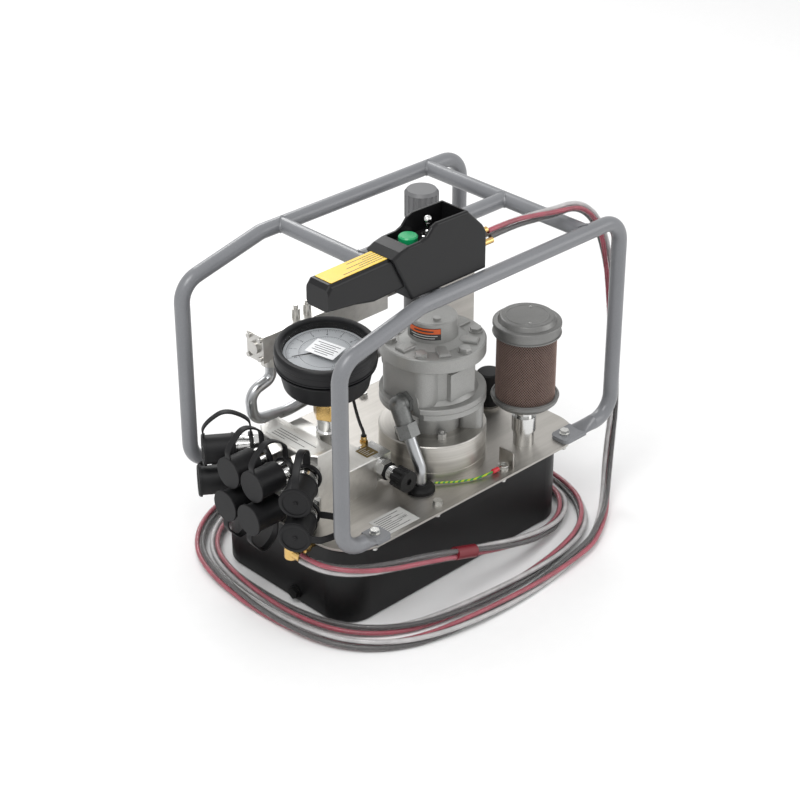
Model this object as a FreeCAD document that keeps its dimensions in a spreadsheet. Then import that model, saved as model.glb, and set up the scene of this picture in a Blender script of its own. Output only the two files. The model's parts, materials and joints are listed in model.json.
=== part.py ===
import FreeCAD, Part
import math
import os
import re

import Sketcher
from FreeCAD import Placement, Rotation, Vector

# Air-driven hydraulic power unit in a tubular roll frame.
# Millimetres, +Z up.  The origin is on the floor, at the centre of the roll frame;
# -X is the end with the quick couplers and -Y is the side with the pendant.

SIZES = {
    # Deck plate and oil reservoir
    "deck_height": 120,
    "deck_thickness": 3,
    "deck_left": -225,
    "deck_right": 190,
    "deck_half": 140,
    "deck_corner": 55,
    "tank_left": -207,
    "tank_right": 172,
    "tank_half": 116,
    "tank_corner": 38,
    "tank_wall": 2.5,
    "rim_inset": 5,
    "rim_thickness": 3,
    "gasket_thickness": 1.5,
    "gasket_land": 22,
    "drain_y": -28,
    "drain_z": 14,
    "drain_flats": 14,
    # Screws through the deck
    "screw_radius": 3,
    "screw_hole": 3.3,
    "screw_flats": 10,
    "washer_radius": 6.2,
    "washer_thickness": 1.6,
    "screw_head": 4,
    "screw_reach": 17,
    "nut_height": 5,
    # Earth tab and its lead
    "tab_x": 56,
    "tab_depth": 23,
    "tab_rise": 20,
    "tab_thickness": 2,
    "lead_radius": 1.4,
    # Roll frame
    "tube_radius": 9.5,
    "bend_radius": 30,
    "frame_half_length": 229,
    "frame_half_width": 135,
    "frame_top": 279.5,
    "frame_shoulder": 251,
    "shoulder_x": -107,
    "front_bar_x": -75,
    "rear_bar_x": 169,
    "foot_front": -169,
    "foot_rear": 156,
    "foot_y": 125,
    "foot_width": 28,
    "foot_thickness": 5,
    # Mounting ring and air motor
    "motor_x": 9,
    "motor_y": -39,
    "ring_radius": 66,
    "ring_height": 48,
    "ring_seam": 12,
    "ring_bore": 30,
    "flange_radius": 65,
    "hub_radius": 35,
    "foot_flange": 84,
    "lower_joint": 91,
    "waist_base": 98,
    "waist_top": 146,
    "upper_joint": 153,
    "cap_flange": 164,
    "boss_top": 194,
    "boss_radius": 29,
    "waist_radius": 51,
    "chamber_radius": 32,
    "chamber_offset": 4,
    "rotor_radius": 26,
    "vane_reach": 27.4,
    "vane_thickness": 3,
    "shaft_radius": 8,
    "bearing_radius": 16,
    "bearing_width": 9,
    "motor_bolt_circle": 53,
    "motor_bolt_flats": 13,
    "port_face": -46,
    "port_y": -50,
    "port_z": 101,
    # Exhaust elbow and tube
    "elbow_x": -59,
    "elbow_radius": 11,
    "exhaust_radius": 7,
    "exhaust_y": -88,
    "grommet_radius": 17.5,
    # Oil pump inside the reservoir
    "pump_radius": 32,
    "pump_height": 78,
    "riser_x": -110,
    "riser_base": -58,
    # Exhaust muffler
    "muffler_x": 110,
    "muffler_y": -98,
    "muffler_base_z": 54,
    "muffler_base_radius": 41,
    "mesh_base_z": 70,
    "mesh_top_z": 158,
    "mesh_radius": 37,
    "muffler_rim_z": 172,
    "muffler_top_z": 178,
    # Filler neck and cap
    "filler_x": 146,
    "filler_y": -4,
    "filler_radius": 16,
    "filler_top": 50,
    # Valve block, coupler manifold, relief valve
    "manifold_front": -200,
    "manifold_back": -160,
    "manifold_face_half": 34,
    "manifold_half": 50.4,
    "manifold_side": -188.5,
    "manifold_height": 84,
    "block_right": -94,
    "block_near": -50,
    "block_far": 86,
    "block_height": 42,
    "relief_x": -88,
    "relief_z": 27,
    "relief_start": -50,
    "relief_knob_start": -78,
    "relief_knob_radius": 13.5,
    "relief_knob_length": 20,
    "relief_stem": 5,
    # Quick couplers and their dust caps
    "coupler_radius": 13,
    "coupler_flats": 27,
    "cap_radius": 17.5,
    "cap_disc_radius": 19.5,
    "cap_disc": 3,
    "cap_length": 38,
    "cap_bore": 14,
    "upper_row": 62,
    "lower_row": 20,
    "inner_column": 21,
    "outer_column": 42,
    "outer_face_x": -194.5,
    "outer_turn": 35,
    "upper_reach": 64,
    "lower_reach": 71,
    "strap_width": 9,
    "strap_thickness": 2,
    "strap_rise": 27,
    # Pressure gauge
    "gauge_x": -152,
    "gauge_y": -27,
    "gauge_z": 198,
    "gauge_tilt": 6.5,
    "gauge_radius": 59,
    "gauge_depth": 42,
    "dial_radius": 49,
    "pointer_zero": -27,
    # Air valve, supply tube, filter-regulator and its bracket
    "valve_left": -145,
    "valve_right": 50,
    "valve_near": 82,
    "valve_far": 110,
    "valve_base": 141,
    "valve_top": 174,
    "air_tube_radius": 7,
    "regulator_x": 111,
    "regulator_y": 85,
    "regulator_half": 26,
    "regulator_base": 142,
    "regulator_top": 222,
    "knob_radius": 21.5,
    "knob_base": 246,
    "knob_top": 284,
    "bowl_radius": 22,
    "bowl_base": 62,
    "bracket_y": 42,
    "bracket_left": 95,
    "bracket_right": 163,
    "bracket_top": 215,
    "inlet_radius": 9.5,
    "inlet_depth": 16,
    # Pendant control
    "pendant_y": -110,
    "pendant_base": 289.4,
    "pendant_top": 370,
    "pendant_width": 44,
    "grip_width": 35,
    "grip_left": -236,
    "grip_base": 309,
    "grip_top": 347,
    "cavity_floor": 345,
    "button_x": -102,
    "button_radius": 11,
    "toggle_x": -70,
    "barb_length": 22,
    # Hose bundle
    "hose_radius": 8,
    "hose_end_x": -238,
    "hose_end_y": -76,
    "hose_end_z": -20,
}

doc = FreeCAD.newDocument("hydraulic_power_unit")
sheet = doc.addObject("Spreadsheet::Sheet", "Dimensions")
for row, (alias, amount) in enumerate(SIZES.items(), start=1):
    sheet.set(f"A{row}", alias)
    sheet.set(f"B{row}", str(amount))
    sheet.setAlias(f"B{row}", alias)
working = doc.addObject("Spreadsheet::Sheet", "Working")
doc.recompute()

PARTS = []
X_AXIS = Vector(1, 0, 0)
Y_AXIS = Vector(0, 1, 0)
Z_AXIS = Vector(0, 0, 1)
UPRIGHT = Rotation()
ALONG_X = Rotation(Y_AXIS, 90)
AGAINST_X = Rotation(Y_AXIS, -90)
ALONG_Y = Rotation(X_AXIS, -90)
AGAINST_Y = Rotation(X_AXIS, 90)
DOWNWARD = Rotation(X_AXIS, 180)


# ---------------------------------------------------------------- helpers

def linked(formula):
    """Write a formula of dimension names as an expression on the sheet."""
    def prefix(word):
        return f"Dimensions.{word.group()}" if word.group() in SIZES else word.group()
    return re.sub(r"[a-z]\w*", prefix, str(formula))


def number(formula):
    """The value that a formula of dimension names has now."""
    working.set("A1", "=" + linked(formula))
    working.recompute()
    return float(working.get("A1"))


def point(x, y, z):
    """A point given by three formulas, z measured from the top of the deck."""
    return Vector(number(x), number(y), number(z) + SIZES["deck_height"])


def bind(thing, **formulas):
    for name, formula in formulas.items():
        thing.setExpression(name, linked(formula))


def put(thing, x="0", y="0", z="0", turn=UPRIGHT):
    """Place a thing, with z measured from the top of the deck."""
    thing.Placement = Placement(Vector(), turn)
    places = {"x": x, "y": y, "z": f"deck_height + ({z})"}
    for name, formula in places.items():
        thing.setExpression(f"Placement.Base.{name}", linked(formula))
    return thing


def keep(thing, label):
    """Name a finished sub-part and list it for export."""
    thing.Label = label
    PARTS.append(thing)
    return thing


def cylinder(radius, height, x="0", y="0", z="0", turn=UPRIGHT):
    rod = doc.addObject("Part::Cylinder", "Rod")
    bind(rod, Radius=radius, Height=height)
    return put(rod, x, y, z, turn)


def block(left, right, near, far, base, top, turn=UPRIGHT):
    """A box between six faces, each given by a formula."""
    box = doc.addObject("Part::Box", "Block")
    bind(box, Length=f"({right}) - ({left})", Width=f"({far}) - ({near})",
         Height=f"({top}) - ({base})")
    return put(box, left, near, base, turn)


def hexagon(flats, height, x="0", y="0", z="0", turn=UPRIGHT):
    prism = doc.addObject("Part::Prism", "Hexagon")
    prism.Polygon = 6
    bind(prism, Circumradius=f"({flats}) / sqrt(3)", Height=height)
    return put(prism, x, y, z, turn)


def ball(radius, x, y, z):
    sphere = doc.addObject("Part::Sphere", "Ball")
    bind(sphere, Radius=radius)
    return put(sphere, x, y, z)


def joined(*pieces):
    fuse = doc.addObject("Part::MultiFuse", "Joined")
    fuse.Shapes = list(pieces)
    return fuse


def cut(base, tool):
    difference = doc.addObject("Part::Cut", "Cut")
    difference.Base = base
    difference.Tool = tool
    return difference


def feature(shape, label, placement=None):
    """A sub-part whose shape is made with Part's own functions."""
    made = doc.addObject("Part::Feature", label)
    made.Shape = shape
    if placement is not None:
        made.Placement = placement
    return keep(made, label)


def copies(master, placements):
    """Separate solids, one copy of the master at each placement."""
    doc.recompute()
    return [master.Shape.transformed(spot.toMatrix(), True) for spot in placements]


# ---------------------------------------------------------------- PartDesign helpers

def new_body(label):
    body = doc.addObject("PartDesign::Body", label)
    return keep(body, label)


def sketch_on(body, role, lift="0"):
    """A sketch on one of the body's own origin planes, lifted off it."""
    sketch = body.newObject("Sketcher::SketchObject", "Sketch")
    plane = next(p for p in body.Origin.OriginFeatures if p.Role == role)
    sketch.AttachmentSupport = [(plane, "")]
    sketch.MapMode = "FlatFace"
    sketch.setExpression("AttachmentOffset.Base.z", linked(lift))
    return sketch


def dimension(sketch, kind, formula, amount, geometry, spot):
    """Hold a point at a distance from the sketch's origin, along X or Y."""
    if abs(amount) < 1e-6:
        axis = -2 if kind == "DistanceX" else -1
        sketch.addConstraint(Sketcher.Constraint("PointOnObject", geometry, spot, axis))
        return
    index = sketch.addConstraint(Sketcher.Constraint(kind, -1, 1, geometry, spot, amount))
    sketch.setExpression(f"Constraints[{index}]", linked(formula))


def draw_outline(sketch, points):
    """A closed outline of straight sides through points given by formulas."""
    corners = [Vector(number(x), number(y), 0) for x, y in points]
    count = len(corners)
    first = sketch.GeometryCount
    for i, corner in enumerate(corners):
        sketch.addGeometry(Part.LineSegment(corner, corners[(i + 1) % count]), False)
    for i in range(count):
        following = first + (i + 1) % count
        sketch.addConstraint(Sketcher.Constraint("Coincident", first + i, 2, following, 1))
    for i, (x, y) in enumerate(points):
        dimension(sketch, "DistanceX", x, corners[i].x, first + i, 1)
        dimension(sketch, "DistanceY", y, corners[i].y, first + i, 1)


def draw_circles(sketch, radius, centres):
    for x, y in centres:
        centre = Vector(number(x), number(y), 0)
        circle = Part.Circle(centre, Z_AXIS, number(radius))
        index = sketch.addGeometry(circle, False)
        size = sketch.addConstraint(Sketcher.Constraint("Radius", index, number(radius)))
        sketch.setExpression(f"Constraints[{size}]", linked(radius))
        dimension(sketch, "DistanceX", x, centre.x, index, 3)
        dimension(sketch, "DistanceY", y, centre.y, index, 3)


def rectangle(left, right, near, far):
    return [(left, near), (right, near), (right, far), (left, far)]


def draw_rounded(sketch, left, right, near, far, radius):
    """A rectangle with round corners: four sides, and four arcs between their ends."""
    sides = [((f"{left} + {radius}", near), (f"{right} - ({radius})", near)),
             ((right, f"{near} + {radius}"), (right, f"{far} - ({radius})")),
             ((f"{right} - ({radius})", far), (f"{left} + {radius}", far)),
             ((left, f"{far} - ({radius})"), (left, f"{near} + {radius}"))]
    ends = [[Vector(number(x), number(y), 0) for x, y in side] for side in sides]
    for start, end in ends:
        sketch.addGeometry(Part.LineSegment(start, end), False)
    for i, (_, corner_start) in enumerate(ends):
        corner_end = ends[(i + 1) % 4][0]
        along = (corner_start - ends[i][0]).normalize() * number(radius)
        centre = corner_end - along
        start_angle = math.radians(-90 + 90 * i)
        arc = Part.ArcOfCircle(Part.Circle(centre, Z_AXIS, number(radius)), start_angle,
                               start_angle + math.pi / 2)
        index = sketch.addGeometry(arc, False)
        sketch.addConstraint(Sketcher.Constraint("Coincident", index, 1, i, 2))
        sketch.addConstraint(Sketcher.Constraint("Coincident", index, 2, (i + 1) % 4, 1))
        size = sketch.addConstraint(Sketcher.Constraint("Radius", index, number(radius)))
        sketch.setExpression(f"Constraints[{size}]", linked(radius))
    for i, side in enumerate(sides):
        for spot, (x, y) in enumerate(side, start=1):
            dimension(sketch, "DistanceX", x, ends[i][spot - 1].x, i, spot)
            dimension(sketch, "DistanceY", y, ends[i][spot - 1].y, i, spot)


def pad(body, sketch, length, midplane=False):
    made = body.newObject("PartDesign::Pad", "Pad")
    made.Profile = sketch
    made.Midplane = midplane
    bind(made, Length=length)
    doc.recompute()
    return made


def pocket(body, sketch, depth, upward=True):
    """Cut away a sketch's outline, and check that something was cut."""
    doc.recompute()
    before = body.Shape.Volume
    made = body.newObject("PartDesign::Pocket", "Pocket")
    made.Profile = sketch
    made.Reversed = upward
    bind(made, Length=depth)
    doc.recompute()
    if body.Shape.Volume > before - 1e-3:
        raise ValueError(f"a pocket in {body.Label} cuts nothing")
    return made


def round_edges(body, radius, wanted, kind="Fillet"):
    """Fillet or chamfer the edges of the body that the test picks."""
    doc.recompute()
    base = body.Tip
    names = [f"Edge{i}" for i, edge in enumerate(base.Shape.Edges, 1) if wanted(edge)]
    made = body.newObject(f"PartDesign::{kind}", kind)
    made.Base = (base, names)
    bind(made, **{"Radius" if kind == "Fillet" else "Size": radius})
    doc.recompute()
    return made


def is_upright(edge):
    start, end = edge.Vertexes[0].Point, edge.Vertexes[-1].Point
    level = math.hypot(start.x - end.x, start.y - end.y)
    return len(edge.Vertexes) == 2 and level < 1e-4 and abs(start.z - end.z) > 0.5


def level_at(height, outside_of=0):
    """A test for edges that lie flat at a local height, beyond a radius."""
    def wanted(edge):
        box = edge.BoundBox
        reach = max(abs(box.XMax), abs(box.XMin), abs(box.YMax), abs(box.YMin))
        return box.ZLength < 1e-4 and abs(box.ZMin - height) < 1e-3 and reach > outside_of
    return wanted


def turned(label, profile, x="0", y="0", z="0", turn=UPRIGHT):
    """A turned piece: an outline of (radius, height) formulas about its own Z axis."""
    body = new_body(label)
    sketch = sketch_on(body, "XZ_Plane")
    draw_outline(sketch, profile)
    spin = body.newObject("PartDesign::Revolution", "Revolution")
    spin.Profile = sketch
    spin.ReferenceAxis = (sketch, ["V_Axis"])
    spin.Angle = 360
    put(body, x, y, z, turn)
    doc.recompute()
    return body


def turned_solid(*arguments, **options):
    """A turned piece that is only a step towards a sub-part."""
    body = turned("Turned", *arguments, **options)
    PARTS.remove(body)
    return body


# ---------------------------------------------------------------- tube helpers

def arc_at(before, corner, after, radius):
    """The tangent arc of a bend, as its two tangent points and its middle."""
    inward = (before - corner).normalize()
    outward = (after - corner).normalize()
    half_turn = (math.pi - inward.getAngle(outward)) / 2
    reach = radius * math.tan(half_turn)
    start = corner + inward * reach
    end = corner + outward * reach
    inner = (inward + outward).normalize()
    middle = corner + inner * (radius / math.cos(half_turn) - radius)
    return start, middle, end


def half_turn_at(before, corner, after):
    return (math.pi - (before - corner).getAngle(after - corner)) / 2


def spine(points, radii):
    """Straight runs joined by tangent arcs through a list of points."""
    edges = []
    last = points[0]
    for i, radius in enumerate(radii, start=1):
        start, middle, end = arc_at(points[i - 1], points[i], points[i + 1], radius)
        if (start - last).Length > 1e-3:
            edges.append(Part.LineSegment(last, start).toShape())
        edges.append(Part.Arc(start, middle, end).toShape())
        last = end
    edges.append(Part.LineSegment(last, points[-1]).toShape())
    return Part.Wire(edges)


def round_bar(points, radii, radius):
    """A solid round bar swept along a spine."""
    path = spine(points, radii)
    heading = points[1] - points[0]
    circle = Part.Wire(Part.makeCircle(radius, points[0], heading))
    solid = path.makePipeShell([circle], True, True)
    expected = math.pi * radius ** 2 * path.Length
    if abs(solid.Volume / expected - 1) > 0.01:
        raise ValueError("a swept bar has the wrong volume")
    return solid, path.Length


def bent_tube(points, radius, bend):
    return round_bar(points, [bend] * (len(points) - 2), radius)[0]


# ---------------------------------------------------------------- screws and deck

SIDE_SCREWS = [("-67", "125"), ("46", "125"), ("-67", "-125"), ("46", "-125")]
END_SCREWS = [("-216", "44"), ("-216", "-44"), ("181", "50"), ("181", "-50")]
FOOT_SCREWS = [(x, f"{side}foot_y") for x in ("foot_front", "foot_rear") for side in ("", "-")]
COVER_SCREWS = SIDE_SCREWS + END_SCREWS
UNDER_DECK = "-(deck_thickness + gasket_thickness + rim_thickness)"


def draw_deck_outline(sketch, inset):
    """The deck's rounded outline, moved in by an inset."""
    draw_rounded(sketch, f"deck_left + {inset}", f"deck_right - ({inset})",
                 f"-deck_half + {inset}", f"deck_half - ({inset})", f"deck_corner - ({inset})")


def make_reservoir_tank():
    """A welded box with a turned-out rim, open at the top."""
    body = new_body("reservoir_tank")
    walls = sketch_on(body, "XY_Plane")
    draw_rounded(walls, "tank_left", "tank_right", "-tank_half", "tank_half", "tank_corner")
    height = "deck_height - deck_thickness - gasket_thickness"
    pad(body, walls, height)
    round_edges(body, "4", level_at(0))
    rim = sketch_on(body, "XY_Plane", f"{height} - rim_thickness")
    draw_deck_outline(rim, "rim_inset")
    pad(body, rim, "rim_thickness")
    cavity = sketch_on(body, "XY_Plane", "tank_wall")
    draw_rounded(cavity, "tank_left + tank_wall", "tank_right - tank_wall",
                 "-tank_half + tank_wall", "tank_half - tank_wall", "tank_corner - tank_wall")
    pocket(body, cavity, "deck_height")
    holes = sketch_on(body, "XY_Plane", f"{height} - rim_thickness - 1")
    draw_circles(holes, "screw_hole", COVER_SCREWS + FOOT_SCREWS)
    pocket(body, holes, "rim_thickness + 2")
    drain = sketch_on(body, "YZ_Plane", "tank_left - 1")
    draw_circles(drain, "5.2", [("drain_y", "drain_z")])
    pocket(body, drain, "tank_wall + 2")
    put(body, z="-deck_height")


def make_tank_gasket():
    """A flat ring of sheet rubber between the rim and the deck."""
    body = new_body("tank_gasket")
    outer = sketch_on(body, "XY_Plane")
    draw_deck_outline(outer, "rim_inset")
    pad(body, outer, "gasket_thickness")
    inner = sketch_on(body, "XY_Plane", "-1")
    draw_deck_outline(inner, "(rim_inset + gasket_land)")
    pocket(body, inner, "gasket_thickness + 2")
    holes = sketch_on(body, "XY_Plane", "-1")
    draw_circles(holes, "screw_hole", COVER_SCREWS + FOOT_SCREWS)
    pocket(body, holes, "gasket_thickness + 2")
    put(body, z="-(deck_thickness + gasket_thickness)")


def make_top_plate():
    """The stainless deck, with an earth tab folded up at its near edge."""
    body = new_body("top_plate")
    outer = sketch_on(body, "XY_Plane")
    draw_deck_outline(outer, "0")
    pad(body, outer, "deck_thickness")
    tab = sketch_on(body, "XY_Plane", "deck_thickness - 1")
    draw_outline(tab, rectangle("tab_x", "tab_x + tab_thickness",
                                "-deck_half + 9", "-deck_half + 9 + tab_depth"))
    pad(body, tab, "tab_rise + 1")
    holes = sketch_on(body, "XY_Plane", "-1")
    draw_circles(holes, "screw_hole", COVER_SCREWS + FOOT_SCREWS)
    draw_circles(holes, "ring_bore", [("motor_x", "motor_y")])
    draw_circles(holes, "13", [("elbow_x", "exhaust_y")])
    draw_circles(holes, "11", [("filler_x", "filler_y")])
    draw_circles(holes, "8", [("muffler_x", "muffler_y")])
    pocket(body, holes, "deck_thickness + 2")
    put(body, z="-deck_thickness")


def screws_through(grip, spots, turn):
    """Hexagon screws whose washers lie above the deck by a grip, with nuts under the rim."""
    shank = cylinder("screw_radius", f"screw_reach + {grip} + 2", z="-screw_reach")
    washer = cylinder("washer_radius", "washer_thickness", z=grip)
    head = hexagon("screw_flats", "screw_head", z=f"{grip} + washer_thickness")
    nut = hexagon("screw_flats", "nut_height", z=f"{UNDER_DECK} - nut_height")
    placements = [Placement(Vector(number(x), number(y), 0), turn) for x, y in spots]
    return copies(joined(shank, washer, head, nut), placements)


def make_deck_screws():
    cover = screws_through("0", COVER_SCREWS, Rotation(Z_AXIS, 17))
    feet = screws_through("foot_thickness", FOOT_SCREWS, UPRIGHT)
    feature(Part.makeCompound(cover + feet), "deck_screws")


def make_drain_plug():
    x = "tank_left"
    shank = cylinder("5", "tank_wall + 9", f"{x} + tank_wall + 6", "drain_y",
                     "drain_z - deck_height", AGAINST_X)
    collar = cylinder("9", "2", x, "drain_y", "drain_z - deck_height", AGAINST_X)
    head = hexagon("drain_flats", "5", f"{x} - 2", "drain_y", "drain_z - deck_height", AGAINST_X)
    keep(joined(shank, collar, head), "drain_plug")


def make_filler():
    """A welded neck with a ventilated push-on cap."""
    turned("filler_neck", [("9", "-8"), ("10.5", "-8"), ("10.5", "0"), ("15.5", "0"),
                           ("15.5", "3"), ("12.5", "3"), ("12.5", "18"), ("9", "18")],
           "filler_x", "filler_y")
    cap = turned("filler_cap", [("0", "19"), ("13", "19"), ("13", "5"), ("filler_radius - 1", "5"),
                                ("filler_radius - 1", "24"), ("filler_radius", "25"),
                                ("filler_radius", "filler_top - 2"),
                                ("filler_radius - 2", "filler_top"), ("0", "filler_top")],
                 "filler_x", "filler_y")
    round_edges(cap, "1.2", level_at(number("filler_top"), 5))


def make_earth_lead():
    """An earth wire clipped between the grommet and the screw beside the tab."""
    points = [point("-40.5", "-93", "3.5"), point("-20", "-108", "2.5"), point("2", "-119", "2"),
              point("22", "-124", "3.5"), point("38", "-125", "4")]
    radii = [14, 30, 40]
    wire = round_bar(points, radii, SIZES["lead_radius"])[0]
    sleeve = Part.makeCylinder(2.6, 9, point("28", "-124.4", "3.8"), X_AXIS)
    feature(wire.fuse(sleeve), "earth_lead")


# ---------------------------------------------------------------- roll frame

def tube_end(side, hole_x, inner_x, outer_x):
    """A tube end pressed flat, drilled and laid on the deck."""
    flat_y = side * SIZES["foot_y"] + side * 2
    base = SIZES["deck_height"]
    half = SIZES["foot_width"] / 2
    thick = SIZES["foot_thickness"]
    away = 1 if inner_x > outer_x else -1
    start = Vector(outer_x, side * SIZES["frame_half_width"], base + SIZES["tube_radius"])
    round_wire = Part.Wire(Part.makeCircle(SIZES["tube_radius"], start, X_AXIS))
    middle_x = outer_x + away * 19
    centre = Vector(middle_x, flat_y, base + thick / 2)
    ellipse = Part.Ellipse(centre, half, thick / 2)
    ellipse.Axis = X_AXIS
    oval = Part.Wire(ellipse.toShape())
    oval_box = oval.BoundBox
    if oval_box.YLength < oval_box.ZLength:
        oval.rotate(centre, X_AXIS, 90)
    neck = Part.makeLoft([round_wire, oval], True)
    end_x = hole_x + away * 14
    low_x, high_x = sorted((middle_x - away * 3, end_x))
    corner = Vector(low_x, flat_y - half, base)
    flat = Part.makeBox(high_x - low_x, 2 * half, thick, corner)
    rounded = [edge for edge in flat.Edges
               if is_upright(edge) and abs(edge.BoundBox.XMin - end_x) < 1e-3]
    flat = flat.makeFillet(7, rounded)
    hole_at = Vector(hole_x, side * SIZES["foot_y"], base - 1)
    hole = Part.makeCylinder(SIZES["screw_hole"], thick + 2, hole_at)
    return neck.fuse(flat).cut(hole)


def make_hoop(label, side):
    """One side of the roll frame: a single bent tube with two flattened ends."""
    low = SIZES["tube_radius"]
    end = SIZES["frame_half_length"]
    top = SIZES["frame_top"]
    outline = [(-end + 34, low), (-end, low), (-end, SIZES["frame_shoulder"]),
               (SIZES["shoulder_x"], top), (end, top), (end, low), (end - 34, low)]
    y = side * SIZES["frame_half_width"]
    points = [Vector(x, y, z + SIZES["deck_height"]) for x, z in outline]
    tube = bent_tube(points, low, SIZES["bend_radius"])
    front = tube_end(side, SIZES["foot_front"], SIZES["foot_front"], -end + 34)
    rear = tube_end(side, SIZES["foot_rear"], SIZES["foot_rear"], end - 34)
    feature(tube.fuse([front, rear]).removeSplitter(), label)


def make_crossbars():
    """Two bars across the hoops and a carrying bar between them, coped at their ends."""
    bars = []
    sides = [cylinder("tube_radius", "2 * frame_half_length", "-frame_half_length",
                      f"{sign}frame_half_width", "frame_top", ALONG_X) for sign in ("", "-")]
    hoops = joined(*sides)
    for x in ("front_bar_x", "rear_bar_x"):
        bar = cylinder("tube_radius", "2 * frame_half_width", x, "-frame_half_width",
                       "frame_top", ALONG_Y)
        bars.append(cut(bar, hoops))
    doc.recompute()
    feature(Part.makeCompound([bar.Shape.Solids[0] for bar in bars]), "crossbars")
    carry = cylinder("tube_radius", "rear_bar_x - front_bar_x", "front_bar_x", "0",
                     "frame_top", ALONG_X)
    ends = joined(*[cylinder("tube_radius", "60", x, "-30", "frame_top", ALONG_Y)
                    for x in ("front_bar_x", "rear_bar_x")])
    keep(cut(carry, ends), "carry_bar")


# ---------------------------------------------------------------- air motor

def around_motor(radius, angle, z):
    turn = math.radians(angle)
    return point(f"motor_x + {radius * math.cos(turn)}", f"motor_y + {radius * math.sin(turn)}", z)


LEG_ANGLES = [-55, 65, 185]
RING_BOLT_ANGLES = [-120, 0, 120]
CAP_BOLT_ANGLES = [-150, -90, -30, 30, 90, 150]


def make_mount_ring():
    ring = turned("mount_ring", [("ring_bore", "0"), ("ring_radius", "0"),
                                 ("ring_radius", "ring_seam - 0.6"),
                                 ("ring_radius - 0.8", "ring_seam - 0.6"),
                                 ("ring_radius - 0.8", "ring_seam + 0.6"),
                                 ("ring_radius", "ring_seam + 0.6"),
                                 ("ring_radius", "ring_height"), ("ring_bore", "ring_height")],
                  "motor_x", "motor_y")
    round_edges(ring, "1.2", level_at(number("ring_height"), 60), "Chamfer")


def port_notch(right, base):
    """The room that the exhaust elbow takes at the edge of the flanges."""
    notch = block("port_face - 40", right, "port_y - 28", "port_y + 17", base, "waist_base + 1")
    doc.recompute()
    return notch.Shape


def make_motor_foot():
    """Cast end plate on three legs, with a bore for the lower bearing."""
    plate = turned_solid([("shaft_radius + 1", "ring_height"), ("hub_radius", "ring_height"),
                          ("hub_radius + 1", "foot_flange - 10"), ("hub_radius + 9", "foot_flange"),
                          ("flange_radius", "foot_flange"),
                          ("flange_radius", "lower_joint - 0.6"),
                          ("flange_radius - 0.8", "lower_joint"),
                          ("bearing_radius", "lower_joint"),
                          ("bearing_radius", "lower_joint - bearing_width"),
                          ("shaft_radius + 1", "lower_joint - bearing_width")],
                         "motor_x", "motor_y")
    doc.recompute()
    shape = plate.Shape.copy()
    height = SIZES["foot_flange"] - SIZES["ring_height"]
    for angle in LEG_ANGLES:
        foot = around_motor(0, 0, "ring_height")
        corner = foot + Vector(34, -11, 0)
        leg = Part.makeBox(28, 22, height, corner)
        outer = [edge for edge in leg.Edges if is_upright(edge)]
        leg = leg.makeFillet(7, outer)
        leg.rotate(foot, Z_AXIS, angle)
        shape = shape.fuse(leg)
    notch = port_notch("port_face + 2.5", "ring_height - 1")
    feature(shape.cut(notch).removeSplitter(), "motor_foot")


def make_motor_cylinder():
    """Cast cylinder between two flanges, with a flared port and a name-plate pad."""
    barrel = turned_solid([("0", "lower_joint"), ("flange_radius - 0.8", "lower_joint"),
                           ("flange_radius", "lower_joint + 0.6"),
                           ("flange_radius", "waist_base - 1"),
                           ("flange_radius - 1", "waist_base"), ("waist_radius + 4", "waist_base"),
                           ("waist_radius", "waist_base + 5"), ("waist_radius", "waist_top - 5"),
                           ("waist_radius + 4", "waist_top"), ("flange_radius - 2", "waist_top"),
                           ("flange_radius - 1", "waist_top + 1"),
                           ("flange_radius - 1", "upper_joint"), ("0", "upper_joint")],
                          "motor_x", "motor_y")
    saddle = block("port_face", "motor_x", "motor_y - 40", "motor_y + 40",
                   "lower_joint + 1", "waist_top + 1")
    neck = cylinder("20", "motor_x - port_face", "port_face", "port_y", "port_z", ALONG_X)
    pad_block = block("motor_x - 22", "motor_x + 18", "motor_y - waist_radius - 1.5", "motor_y",
                      "waist_base + 6", "waist_top - 7")
    inlet = cylinder("17", "waist_radius + 8", "motor_x - 12", "motor_y", "122", ALONG_Y)
    doc.recompute()
    saddle_shape = saddle.Shape
    front = [edge for edge in saddle_shape.Edges
             if abs(edge.BoundBox.XMax - SIZES["port_face"]) < 1e-3 and is_upright(edge)]
    saddle_shape = saddle_shape.makeFillet(18, front)
    below = block("motor_x - 80", "motor_x + 80", "motor_y - 80", "motor_y + 80",
                  "lower_joint - 20", "lower_joint")
    doc.recompute()
    shape = barrel.Shape.cut(port_notch("port_face", "lower_joint - 1"))
    shape = shape.fuse([saddle_shape, neck.Shape, pad_block.Shape, inlet.Shape]).cut(below.Shape)
    chamber_at = point("motor_x + chamber_offset", "motor_y", "lower_joint - 1")
    span = SIZES["upper_joint"] - SIZES["lower_joint"] + 2
    chamber = Part.makeCylinder(SIZES["chamber_radius"], span, chamber_at)
    outlet_at = point("port_face - 1", "port_y", "port_z")
    outlet = Part.makeCylinder(8.5, 60, outlet_at, X_AXIS)
    shape = shape.cut([chamber, outlet])
    feature(shape.removeSplitter(), "motor_cylinder")


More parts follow.
